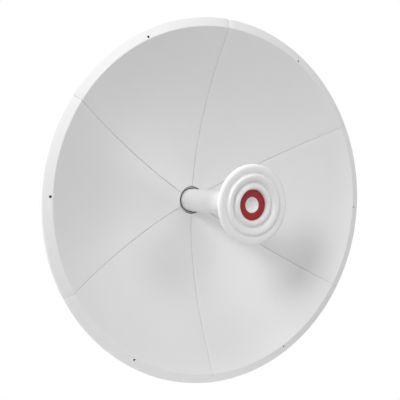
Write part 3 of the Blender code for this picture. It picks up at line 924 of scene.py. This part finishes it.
    def build(self) -> None:
        """Build the petals, each the same shell turned about the boresight."""
        points, quads = self.shell()
        for n in range(self.count):
            turn = np.array(Matrix.Rotation(math.tau * n / self.count, 4, "Z"))
            draft = Draft()
            draft.add(placed(placed(points, turn), self.bowl.world()), quads)
            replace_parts(draft.piece(f"petal_{n + 1}_pressing", Slot.WHITE_PAINT), f"petal_{n + 1}")


@dataclass
class RimNuts:
    """The blind nuts pressed in behind the six rim holes, which hold a cover when one is fitted;
    near-black as painted shade in the holes.
    """

    petals: Petals
    outer: float = 3.4
    length: float = 5.6
    bore: float = 1.75
    depth: float = 4.8
    gap: float = 0.05
    end_round: float = 0.6
    edge: float = 0.2

    def build(self) -> None:
        """Build all six as one piece, each turned about the axis of its hole."""
        petals = self.petals
        face = (petals.band(petals.hole_circle), -petals.band_slope())
        section = filleted([
            (0.0, self.length), (self.outer, self.length, self.end_round),
            (self.outer, 0.0, self.edge), (self.bore, 0.0, self.edge), (self.bore, self.depth),
            (0.0, self.depth),
        ], False)
        draft = Draft()
        for n in range(petals.count):
            angle, depth = 360.0 * n / petals.count, petals.sheet + self.gap
            place = petals.bowl.on_back(petals.hole_circle, angle, depth, face)
            draft.turned(section, place, 36, ring=False)
        # Near-black finish: painted shade seen through the rim holes.
        draft.piece("rim_nuts", Slot.BOLT_STEEL, HOLE_SHADE_BLACK)


@dataclass
class PetalBolts:
    """The small bolts that clamp the petals' joint flanges, behind each seam."""

    bowl: Bowl
    seams: int = 6
    radii: tuple[float, ...] = (135.0, 200.0, 265.0)
    depth: float = 7.0
    grip: float = 1.9
    bolt: Bolt = Bolt(2.5, 4.0, (5.0, 1.0), head=3.5, nut=4.0, tail=8.0, pitch=0.8)

    def build(self) -> None:
        """Build all of them as one piece: a head on one side, a nut and tail on the other."""
        draft = Draft()
        for seam in range(self.seams):
            angle = 360.0 * (seam + 0.5) / self.seams
            turn = math.radians(angle)
            for radius in self.radii:
                middle = self.bowl.on_back(radius, angle, self.depth)[:3, 3]
                for side in (1.0, -1.0):
                    across = np.array([-math.sin(turn), 0.0, math.cos(turn)]) * side
                    self.bolt.add(draft, standing(middle + across * self.grip, across), side < 0)
        draft.piece("petal_joint_bolts", Slot.BOLT_STEEL, ZINC)


@dataclass
class Hub:
    """The cast hub behind the petals, with its ribs and the nuts that hold the petals."""

    bowl: Bowl
    sheet: float = 1.5
    radius: float = 92.0
    flange: float = 5.0
    boss: float = 62.0
    boss_foot: float = 67.0
    back: float = -16.0
    bore: float = 26.0
    ribs: int = 6
    rib_width: float = 5.0
    rib_root: float = 2.0
    rib_tip: float = 6.0
    rib_low: float = 3.0
    rib_edge: tuple[tuple[float, float], ...] = ((0.7, 0.0), (0.2, 0.5), (0.0, 1.2))
    nut_circle: float = 80.0
    nut_angle: float = 16.0
    nut: Bolt = Bolt(3.0, 4.8, (5.8, 1.2), nut=4.6, tail=8.5, pitch=1.0)
    web_bolt: Bolt = Bolt(3.0, 5.0, (5.8, 1.2), head=4.2)
    web_bolts: tuple[tuple[float, float], ...] = ((33, 44), (-33, 44), (-33, -44), (33, -44))
    web_back: float = -20.3

    def behind(self, radius: float, deep: float) -> float:
        """Height of a face that lies a depth behind the hub's own front face."""
        return self.bowl.behind(radius, self.sheet + CLEARANCE + deep)

    def build(self) -> None:
        """Build the casting and its fasteners."""
        front = [(r, self.behind(r, 0.0)) for r in np.linspace(self.radius, self.bore, 12)]
        draft = Draft()
        draft.turned(filleted([
            (self.radius, self.behind(self.radius, self.flange), 1.2), (*front[0], 0.8),
            *front[1:-1], (*front[-1], 0.6), (self.bore, self.back, 0.8),
            (self.boss, self.back, 1.6),
            (self.boss_foot, self.behind(self.boss_foot, self.flange), 4.0),
        ]), self.bowl.world(), 96)
        for n in range(self.ribs):
            self.rib(draft, math.tau * (n + 0.5) / self.ribs)
        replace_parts(draft.piece("hub_casting_skin", Slot.CAST_METAL), "hub_casting")
        nuts = Draft()
        foot = self.sheet + CLEARANCE + self.flange
        for n in range(self.ribs):
            for side in (-self.nut_angle, self.nut_angle):
                angle = 360.0 * n / self.ribs + side
                self.nut.add(nuts, self.bowl.on_back(self.nut_circle, angle, foot), True)
        for x, z in self.web_bolts:
            place = standing((x, self.bowl.vertex_y - self.web_back, z), (0, 1, 0))
            self.web_bolt.add(nuts, place)
        nuts.piece("hub_fasteners", Slot.BOLT_STEEL, ZINC)

    def rib(self, draft: Draft, turn: float) -> None:
        """Add a rib from the boss out to the flange: a side outline lofted across its width.

        Args:
            draft: the casting.
            turn: the rib's angle round the boresight.
        """
        foot, tip = self.boss - self.rib_root, self.radius - self.rib_tip
        low, middle = self.back + self.rib_low, self.flange / 2
        outline = filleted([
            (foot, low), (self.boss_foot, low, 2.0), (tip, self.behind(tip, self.flange), 1.0),
            (tip, self.behind(tip, middle)), (foot, self.behind(self.boss, middle)),
        ])
        side = np.array(Matrix.Rotation(turn, 4, "Z") @ Matrix.Rotation(math.pi / 2, 4, "X"))
        half = self.rib_width / 2
        rows = [(inset, height - half) for inset, height in self.rib_edge]
        rows += [(inset, -height) for inset, height in reversed(rows)]
        draft.loft(outline, rows, self.bowl.world() @ side)


@dataclass
class FeedTube:
    """The tapered feed tube, the collar, near-black seals round its foot as painted shade in its
    gaps, and its notched lock ring.
    """

    bowl: Bowl
    base: float = 21.4
    end: float = 19.0
    wall: float = 2.5
    back: float = -27.0
    front: float = 188.0
    edge: float = 0.6
    lip: tuple[float, float] = (23.0, 24.6)
    lip_front: float = -2.8
    shoulder: float = -6.0
    sleeve: float = 25.7
    hub_back: float = -16.0
    seals: tuple[float, ...] = (22.2, 25.3)
    seal_radius: float = 0.65
    seal_height: float = -3.0
    lock_radius: float = 31.0
    lock_back: float = -26.7
    notches: int = 8
    notch: float = 1.8
    notch_start: float = 0.72
    notch_slope: float = 12.0
    notch_width: float = 1.3

    def build(self) -> None:
        """Build the tube, the collar, the black seals (painted shade in the gaps) on both sides of
        its lip and the lock ring.
        """
        world, edge = self.bowl.world(), self.edge
        inside, bore, (inner, outer) = self.base - self.wall, self.base + CLEARANCE, self.lip
        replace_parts(turned_piece("feed_tube_moulding", Slot.WHITE_PLASTIC, [
            (self.end, self.front, edge), (self.base, 0.0), (self.base, self.back, edge),
            (inside, self.back, edge), (inside, 0.0), (self.end - self.wall, self.front, edge),
        ], world), "feed_tube")
        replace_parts(turned_piece("feed_collar_moulding", Slot.WHITE_PLASTIC, [
            (outer, self.lip_front, 0.45), (outer, self.shoulder, 0.4),
            (self.sleeve, self.shoulder, 0.3), (self.sleeve, self.hub_back), (bore, self.hub_back),
            (bore, self.shoulder), (inner, self.shoulder, 0.4), (inner, self.lip_front, 0.45),
        ], world), "feed_collar")
        turn = turns(16)[0]
        circle = np.stack([np.cos(turn), np.sin(turn)], -1) * self.seal_radius
        seal = Draft()
        for radius in self.seals:
            seal.turned(circle + np.array([radius, self.seal_height]), world, 96)
        # Near-black rings: painted shade in the gaps on both sides of the collar's lip.
        seal.piece("feed_seals_gap_shade", Slot.GREY_PLASTIC, GAP_SHADE_RUBBER)
        self.lock_ring(bore)

    def lock_ring(self, bore: float) -> None:
        """Build the lock ring: a turned ring with shallow spanner notches round its edge.

        Notch depth = notch * (cos(notches * a) - start) * slope, held between 0 and the notch.

        Args:
            bore: the radius of its hole.
        """
        front = self.hub_back - CLEARANCE
        loop = filleted([
            (self.lock_radius, front, 0.8), (self.lock_radius, self.lock_back, 1.2),
            (bore, self.lock_back, 0.6), (bore, front, 0.6),
        ], steps=4)
        loop = np.concatenate([loop, loop[:1]])
        angle = turns(192)
        wave = (np.cos(self.notches * angle) - self.notch_start) * self.notch_slope
        notch = np.clip(wave, 0.0, 1.0) * self.notch
        outside = loop[:, :1] > self.lock_radius - self.notch_width
        ring = Draft()
        ring.lathe(loop[:, :1] - notch * outside, loop[:, 1:], angle, self.bowl.world())
        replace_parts(ring.piece("feed_lock_ring_skin", Slot.GALVANISED), "feed_lock_ring")


@dataclass
class FeedCap:
    """The cap at the tube's end with its two ridges, its red ring, its centre disc and its cone."""

    bowl: Bowl
    radius: float = 67.8
    face: float = 212.5
    brim_round: float = 9.9
    brim_angle: float = 47.5
    brim_back: float = 208.1
    body: float = 54.0
    body_taper: float = 3.0
    back: float = 197.6
    red_face: float = 207.2
    red_back: float = 204.4
    red: tuple[float, float] = (13.4, 25.6)
    disc_radius: float = 13.1
    disc_back: float = 199.4
    disc_step: float = 0.4
    disc_hollow: float = 6.7
    disc_edge: float = 0.3
    ridges: tuple[tuple[float, float, float], ...] = (
        (25.9, 209.2, 0.8), (26.8, 211.8, 2.0), (28.4, 213.6, 2.0), (30.2, 214.1, 3.0),
        (32.6, 213.4, 4.0), (34.6, 211.4, 3.0), (36.4, 208.3, 1.0), (38.2, 208.0, 0.8),
        (40.6, 211.8, 2.0), (42.8, 214.4, 3.0), (45.4, 215.4, 4.0), (47.8, 215.5, 3.0),
        (49.6, 214.9, 2.0), (51.0, 212.9, 2.0), (52.2, 210.7, 0.8), (54.2, 211.4, 2.0),
        (57.0, 212.4, 4.0),
    )
    cone_radius: float = 46.0
    cone_lip: float = 2.0
    flank: tuple[float, float, float] = (11.0, 5.0, 24.0)
    neck: float = 20.2
    neck_length: float = 1.5
    spigot: float = 16.2
    spigot_length: float = 14.0
    tube_end: float = 188.0

    def build(self) -> None:
        """Build the cap, the ring, the disc and the cone."""
        world = self.bowl.world()
        floor, well = self.disc_back - CLEARANCE, self.red_back - CLEARANCE
        inner, outer = self.disc_radius + CLEARANCE, self.red[1] + CLEARANCE
        turn = np.radians(np.linspace(0.0, self.brim_angle, 9))
        brim = self.brim_round * np.stack([np.sin(turn) - np.sin(turn[-1]), np.cos(turn) - 1], -1)
        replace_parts(turned_piece("feed_cap_moulding", Slot.WHITE_PLASTIC, [
            (0.0, floor), (inner, floor), (inner, well), (outer, well), (outer, self.red_face),
            *self.ridges, *(brim + np.array([self.radius, self.face])),
            (self.radius, self.brim_back, 0.6), (self.body, self.brim_back, 1.5),
            (self.body - self.body_taper, self.back, 1.5), (0.0, self.back),
        ], world, 144, ring=False, arc=6), "feed_cap")
        low, high = self.red
        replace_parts(turned_piece("red_ring_moulding", Slot.RED_PLASTIC, [
            (high, self.red_face, 0.6), (high, self.red_back), (low, self.red_back),
            (low, self.red_face, 0.3),
        ], world), "red_ring")
        self.disc()
        self.cone()

    def disc(self) -> None:
        """Build the disc: height = edge - hollow (1 - (radius / disc radius) cubed)."""
        radii = np.linspace(0.0, self.disc_radius - self.disc_edge, 16)
        edge = self.red_face - self.disc_step
        hollow = edge - self.disc_hollow * (1 - (radii / self.disc_radius) ** 3)
        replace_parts(turned_piece("centre_disc_moulding", Slot.WHITE_PLASTIC, [
            *zip(radii, hollow), (self.disc_radius, edge - self.disc_edge),
            (self.disc_radius, self.disc_back), (0.0, self.disc_back),
        ], self.bowl.world(), 72, ring=False), "centre_disc")

    def cone(self) -> None:
        """Build the cone: a lip under the cap, a hollow flank down to the neck, and the spigot."""
        shoulder, front = self.tube_end + CLEARANCE, self.back - CLEARANCE
        tip, (out, down, hollow) = shoulder - self.spigot_length, self.flank
        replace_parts(turned_piece("feed_cone_moulding", Slot.WHITE_PLASTIC, [
            (0.0, front), (self.cone_radius, front, 0.5),
            (self.cone_radius, front - self.cone_lip, 0.8),
            (self.neck + out, front - down, hollow), (self.neck, shoulder + self.neck_length, 1.0),
            (self.neck, shoulder, 0.3), (self.spigot, shoulder), (self.spigot, tip, 1.0),
            (0.0, tip),
        ], self.bowl.world(), ring=False, arc=6), "feed_cone")


@dataclass
class FeedHousing:
    """The two-part housing behind the hub, with a lid seam and four lid screws."""

    half: float = 33.0
    front_y: float = -137.7
    depth: float = 46.0
    corner: float = 6.0
    edge: float = 3.0
    lid: float = 14.0
    seam: tuple[float, float] = (0.9, 0.7)
    plug: float = 18.6
    plug_end: float = 15.0
    plug_root: float = 1.0
    screw_inset: float = 8.0
    screw_sink: float = 0.1
    screw: PanHead = PanHead(3.2, 2.0)

    def build(self) -> None:
        """Build the housing as a rounded loft whose rows dip inwards at the lid seam."""
        turn = np.linspace(0.0, math.pi / 2, 6)
        low = list(zip(self.edge * (1 - np.sin(turn)), self.edge * (1 - np.cos(turn))))
        high = [(inset, self.depth - level) for inset, level in reversed(low)]
        middle, (wide, deep) = self.depth - self.lid, self.seam
        groove = [
            (0.0, middle - wide), (deep, middle - deep), (deep, middle + deep),
            (0.0, middle + wide),
        ]
        draft = Draft()
        outline = rounded_square(self.half, self.corner, 8)
        draft.loft(outline, low + groove + high, standing((0, self.front_y, 0), (0, 1, 0)))
        plug = [(0.0, 0.0), (self.plug, 0.0), (self.plug, self.plug_end, 1.0), (0.0, self.plug_end)]
        forwards = standing((0.0, self.front_y + self.plug_root, 0.0), (0, -1, 0))
        draft.turned(filleted(plug, False), forwards, 64, ring=False)
        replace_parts(draft.piece("feed_housing_moulding", Slot.GREY_PLASTIC), "feed_housing")
        screws = Draft()
        reach = self.half - self.screw_inset
        for x in (-reach, reach):
            for z in (-reach, reach):
                rear = self.front_y + self.depth - self.screw_sink
                self.screw.add(screws, standing((x, rear, z), (0, 1, 0)))
        screws.piece("housing_screws", Slot.BOLT_STEEL)


@dataclass
class CoaxJack:
    """A screw-on coax jack under the housing: flange, threaded barrel, insulator and contact."""

    node: str
    x: float
    y: float = -114.7
    top: float = -33.3
    flange: float = 25.0
    flange_thickness: float = 3.0
    flange_edge: float = 0.4
    radius: float = 7.9
    bore: float = 4.2
    length: float = 18.0
    bore_depth: float = 9.5
    pitch: float = 1.06
    thread_depth: float = 0.5
    root: float = 0.6
    collar: tuple[float, float, float] = (3.0, 3.3, 4.0)
    insulator: tuple[float, float] = (1.0, 1.6)
    insulator_play: float = 0.05
    pin: tuple[float, float] = (0.6, 1.3)
    pin_length: float = 7.0
    pin_floor: float = 3.0
    screw_spacing: float = 9.0
    screw: PanHead = PanHead(2.2, 1.6)

    def build(self) -> None:
        """Build the jack, its local +Z pointing down from the housing."""
        down = (0, 0, -1)
        place = standing((self.x, self.y, self.top), down)
        thick, outline = self.flange_thickness, rounded_square(self.flange / 2, 2.0)
        body = Draft()
        edge = self.flange_edge
        body.loft(outline, [(0.0, 0.0), (0.0, thick - edge), (edge, thick)], place)
        self.barrel(body, place)
        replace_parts(body.piece(f"{self.node}_body", Slot.PLATED_BRASS, smooth=40.0), self.node)
        floor = thick + self.length - self.bore_depth
        low, high = floor - self.insulator[0], floor + self.insulator[1]
        wide = self.bore - self.insulator_play
        turned_piece(
            f"{self.node}_insulator", Slot.WHITE_PLASTIC,
            [(0.0, low), (wide, low), (wide, high, 0.3), (0.0, high)], place, 40, ring=False,
            finish=INSULATOR,
        )
        (hole, pin), tip, base = self.pin, floor + self.pin_length, floor + self.pin_floor
        contact = Draft()
        contact.turned(filleted([
            (0.0, floor), (pin, floor), (pin, tip, 0.5), (hole, tip), (hole, base), (0.0, base),
        ], False), place, 24, ring=False)
        for x in (-self.screw_spacing, self.screw_spacing):
            for y in (-self.screw_spacing, self.screw_spacing):
                spot = (self.x + x, self.y + y, self.top - thick)
                self.screw.add(contact, standing(spot, down))
        contact.piece(f"{self.node}_contact_and_screws", Slot.PLATED_BRASS)

    def barrel(self, body: Draft, place: np.ndarray) -> None:
        """Add the barrel and its smooth bore; on its thread the radius loses depth * pitch * saw.

        Args:
            body: the jack's draft.
            place: the matrix that places the jack.
        """
        start, root, bore = self.flange_thickness, self.radius - self.root, self.bore
        end, (plain, cut, first) = start + self.length, self.collar
        floor = end - self.bore_depth
        height = np.arange(start + first, end - 1.2, self.pitch / 4)[:, None]
        relief = saw(height, turns(48), self.pitch)
        threads = self.radius - self.thread_depth * self.pitch * relief
        body.stacked([
            (start - 1, 0.0), (start - 1, self.radius), (start + plain, self.radius),
            (start + cut, root), *zip(height[:, 0], threads), (end - 0.9, root), (end, root - 0.6),
            (end, bore + 0.4), (end - 0.5, bore), (floor, bore), (floor, 0.0),
        ], place)


@dataclass
class Brackets:
    """The folded brackets and the clamp straps: the CAD solids with their edges broken."""

    nodes: tuple[str, ...] = (
        "hub_bracket", "mast_bracket", "clamp_strap_upper", "clamp_strap_lower",
    )
    edge: float = 0.45
    weld: float = 0.005
    flat_angle: float = 0.5
    sharp_angle: float = 40.0

    def build(self, solids: dict[str, bpy.types.Object]) -> None:
        """Build each from a copy of its solid: doubles merged, flat faces joined, edges bevelled.

        Args:
            solids: the frame's node objects by name.
        """
        flat, sharp = math.radians(self.flat_angle), math.radians(self.sharp_angle)
        for node in self.nodes:
            mesh = solids[node].data.copy()
            shape = bmesh.new()
            shape.from_mesh(mesh)
            bmesh.ops.remove_doubles(shape, verts=shape.verts, dist=self.weld * MM)
            bmesh.ops.dissolve_limit(shape, angle_limit=flat, verts=shape.verts, edges=shape.edges)
            edges = [e for e in shape.edges if e.is_manifold and e.calc_face_angle() > sharp]
            bmesh.ops.bevel(
                shape, geom=edges, offset=self.edge * MM, segments=2, profile=0.5, affect="EDGES",
                clamp_overlap=True,
            )
            bmesh.ops.triangulate(shape, faces=[f for f in shape.faces if len(f.verts) > 4])
            shape.to_mesh(mesh)
            shape.free()
            mesh.name = f"{node}_skin"
            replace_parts(install(mesh.name, mesh, Slot.GALVANISED, smooth=35.0), node)


@dataclass
class TiltBolts:
    """The pivot bolt through both brackets and the two lock bolts in the arc slots."""

    y: float = -60.0
    pivot_z: float = -50.0
    lock_z: float = 40.0
    face: float = 50.0
    inside: float = 41.4
    pivot: Bolt = Bolt(5.0, 8.2, (10.004, 1.4), head=5.0, nut=6.2, tail=10.6)
    lock: Bolt = Bolt(4.0, 6.6, (8.052, 1.4), nut=5.2, tail=10.4)
    dome_radius: float = 9.0
    dome_height: float = 3.4
    dome_foot: float = 0.8
    play: float = 0.05
    shank_play: float = 0.1
    lock_start: float = 4.3
    lock_length: float = 14.0

    def at(self, x: float, z: float, side: int) -> np.ndarray:
        """A matrix on a bolt's axis, its local +Z pointing to one side along X."""
        return standing((x, self.y, z), (side, 0, 0))

    def build(self) -> None:
        """Build all three bolts with their washers and nuts."""
        foot = self.face + self.play
        bolt = Draft()
        for side in (-1, 1):
            self.pivot.add(bolt, self.at(side * foot, self.pivot_z, side), side > 0)
        self.shank(bolt, self.pivot, self.at(-self.face, self.pivot_z, 1), 2 * self.face)
        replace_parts(bolt.piece("pivot_bolt_set", Slot.BOLT_STEEL), "pivot_bolt")
        turn = np.linspace(0.0, math.pi / 2, 7)
        level = self.dome_foot + self.dome_height * np.sin(turn)
        dome = zip(self.dome_radius * np.cos(turn), level)
        head = np.array([(0.0, 0.0), (self.dome_radius, 0.0), *dome])
        for name, side in (("lock_bolt_left", -1), ("lock_bolt_right", 1)):
            lock = Draft()
            self.lock.add(lock, self.at(side * foot, self.lock_z, side), True)
            start = side * (self.inside - self.lock_start)
            self.shank(lock, self.lock, self.at(start, self.lock_z, side), self.lock_length)
            lock.turned(head, self.at(side * self.inside, self.lock_z, -side), 48, ring=False)
            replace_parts(lock.piece(f"{name}_set", Slot.BOLT_STEEL), name)

    def shank(self, draft: Draft, bolt: Bolt, place: np.ndarray, length: float) -> None:
        """Add a plain shank, a touch thinner than the bolt's thread, from local height 0 up."""
        radius = bolt.shank - self.shank_play
        corners = [(0.0, 0.0), (radius, 0.0), (radius, length), (0.0, length)]
        draft.turned(np.array(corners), place, 32, ring=False)


@dataclass
class MastClamp:
    """A U-bolt round the mast with its washers and nuts on the strap."""

    level: str
    z: float
    rod: float = 4.0
    leg_x: float = 30.0
    bend_y: float = 26.0
    front_y: float = -26.0
    strap_y: float = -8.3
    thread_end: float = 6.0
    leg_rows: tuple[float, ...] = (6.0, 7.0, 16.0, 24.0)
    thread_overlap: float = 0.5
    play: tuple[float, float] = (0.02, 0.1)
    washer: tuple[float, float] = (8.0, 1.6)
    nut: float = 6.5
    pitch: float = 1.25

    def build(self) -> None:
        """Build the U-bolt: a rod on a half circle between two threaded legs, with nuts."""
        turn = np.linspace(0.0, math.pi, 49)
        bend = np.stack([self.leg_x * np.cos(turn), self.bend_y + self.leg_x * np.sin(turn)], -1)
        right = np.array([(self.leg_x, y) for y in self.leg_rows])
        flat = np.concatenate([right, bend, (right * np.array([-1.0, 1.0]))[::-1]])
        path = np.concatenate([flat, np.full((len(flat), 1), self.z)], 1)
        bolt = Draft()
        (outer, thick), forwards = self.washer, (0, -1, 0)
        rod, thread = (self.rod - play for play in self.play)
        bolt.tube(path, rod, (0, 0, 1), 24)
        base = self.thread_end + self.thread_overlap
        for x in (-self.leg_x, self.leg_x):
            legs = standing((x, base, self.z), forwards)
            bolt.thread(legs, thread, base - self.front_y, self.pitch)
            bolt.washer(standing((x, self.strap_y, self.z), forwards), outer, self.rod, thick)
            seat = standing((x, self.strap_y - thick, self.z), forwards)
            bolt.hexagon(seat, self.nut, self.nut, thread)
        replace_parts(bolt.piece(f"u_bolt_{self.level}_set", Slot.BOLT_STEEL), f"u_bolt_{self.level}")


# Studio


@dataclass(frozen=True)
class SoftBox:
    """A square light that faces the dish from an azimuth and elevation in degrees, in metres."""

    name: str
    azimuth: float
    elevation: float
    size: float
    power: float
    distance: float = 3.0

    def build(self, aim: Vector) -> None:
        """Build the light, aimed at a point and kept out of the camera's sight.

        Args:
            aim: the point that it faces.
        """
        data = bpy.data.lights.new(self.name, "AREA")
        data.size = self.size
        data.energy = self.power
        lamp = bpy.data.objects.new(self.name, data)
        a, e = math.radians(self.azimuth), math.radians(self.elevation)
        out = Vector((math.sin(a) * math.cos(e), -math.cos(a) * math.cos(e), math.sin(e)))
        lamp.location = aim + out * self.distance
        lamp.rotation_mode = "QUATERNION"
        lamp.rotation_quaternion = (-out).to_track_quat("-Z", "Y")
        lamp.visible_camera = False
        bpy.context.scene.collection.objects.link(lamp)


@dataclass
class Studio:
    """The camera, the pale floor, the white surround and the soft boxes, in metres."""

    bowl: Bowl
    yaw: float = 30.08
    pitch: float = 3.16
    roll: float = -1.25
    offset: tuple[float, float, float] = (-0.0228, 0.0231, -1.3438)
    focal_pixels: float = 702.7
    centre_pixels: tuple[float, float] = (3.45, 12.04)
    floor_centre: tuple[float, float, float] = (0.0, -0.15, -0.78)
    floor_radius: float = 0.95
    floor_colour: Colour = (0.80, 0.80, 0.80)
    floor_shade: float = 0.975
    floor_cloud: float = 200.0
    floor_roughness: float = 0.7
    surround: float = 0.32
    aim: tuple[float, float, float] = (0.0, -0.225, 0.0)
    boxes: tuple[SoftBox, ...] = (
        SoftBox("rim_left", -98.0, 42.0, 1.0, 88.0),
        SoftBox("key_left", -55.0, 24.0, 0.7, 28.0),
        SoftBox("key_right", 14.0, 30.0, 1.2, 12.0),
        SoftBox("top", -25.0, 60.0, 1.5, 11.0),
        SoftBox("fill_right", 60.0, 0.0, 1.8, 13.0),
        SoftBox("back", 165.0, 35.0, 1.8, 14.0),
    )

    def build(self) -> None:
        """Build the camera, the lights, the world and the floor."""
        self.camera()
        for box in self.boxes:
            box.build(Vector(self.aim))
        self.world()
        self.floor()
        view = bpy.context.scene.view_settings
        view.view_transform, view.look = "Standard", "None"

    def camera(self) -> None:
        """Place the camera: seen from it the dish is turned by roll, pitch and yaw, then offset."""
        place = Matrix.Translation(Vector(self.offset))
        for degrees, axis in ((self.yaw, "Y"), (self.pitch, "X"), (self.roll, "Z")):
            place = place @ Matrix.Rotation(math.radians(degrees), 4, axis)
        dish = self.bowl.world()
        dish[:3, 3] *= MM
        data = bpy.data.cameras.new("photo_camera")
        data.sensor_width = SENSOR
        data.lens = self.focal_pixels / PHOTO_PIXELS * SENSOR
        x, y = self.centre_pixels
        data.shift_x, data.shift_y = -x / PHOTO_PIXELS, y / PHOTO_PIXELS
        camera = bpy.data.objects.new("photo_camera", data)
        camera.matrix_world = Matrix(dish.tolist()) @ place.inverted()
        bpy.context.scene.collection.objects.link(camera)
        bpy.context.scene.camera = camera

    def world(self) -> None:
        """A white surround that lights the dish only as strongly as a pale room would."""
        world = bpy.data.worlds.new("white_surround")
        bpy.context.scene.world = world
        world.use_nodes = True
        tree = world.node_tree
        shown, light = tree.nodes["Background"], tree.nodes.new("ShaderNodeBackground")
        for background, strength in ((shown, 1.0), (light, self.surround)):
            background.inputs["Color"].default_value = (1.0, 1.0, 1.0, 1.0)
            background.inputs["Strength"].default_value = strength
        path, mix = tree.nodes.new("ShaderNodeLightPath"), tree.nodes.new("ShaderNodeMixShader")
        tree.links.new(path.outputs["Is Camera Ray"], mix.inputs[0])
        tree.links.new(light.outputs[0], mix.inputs[1])
        tree.links.new(shown.outputs[0], mix.inputs[2])
        tree.links.new(mix.outputs[0], tree.nodes["World Output"].inputs["Surface"])

    def floor(self) -> None:
        """A round pale floor below the antenna, outside the camera's view."""
        mesh = bpy.data.meshes.new("floor")
        steps = 96
        angle = turns(steps)[0]
        ring = np.stack([np.cos(angle), np.sin(angle), 0 * angle], -1) * self.floor_radius
        mesh.from_pydata((ring + np.array(self.floor_centre)).tolist(), [], [list(range(steps))])
        kit = NodeKit("pale_floor")
        colour = kit.tinted(kit.noise(self.floor_cloud), self.floor_colour, self.floor_shade)
        mesh.materials.append(kit.dress(Base_Color=colour, Roughness=self.floor_roughness))
        floor = bpy.data.objects.new("floor", mesh)
        bpy.context.scene.collection.objects.link(floor)


def main() -> None:
    """Dress the frame and light it."""
    logging.basicConfig(level=logging.INFO, format="%(name)s: %(message)s")
    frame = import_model()
    bowl = Bowl()
    petals = Petals(bowl)
    petals.build()
    RimNuts(petals).build()
    PetalBolts(bowl).build()
    Hub(bowl).build()
    FeedTube(bowl).build()
    FeedCap(bowl).build()
    FeedHousing().build()
    CoaxJack("coax_jack_left", -16.0).build()
    CoaxJack("coax_jack_right", 16.0).build()
    Brackets().build(frame["nodes"])
    TiltBolts().build()
    MastClamp("upper", 45.0).build()
    MastClamp("lower", -45.0).build()
    Studio(bowl).build()


if __name__ == "__main__":
    main()
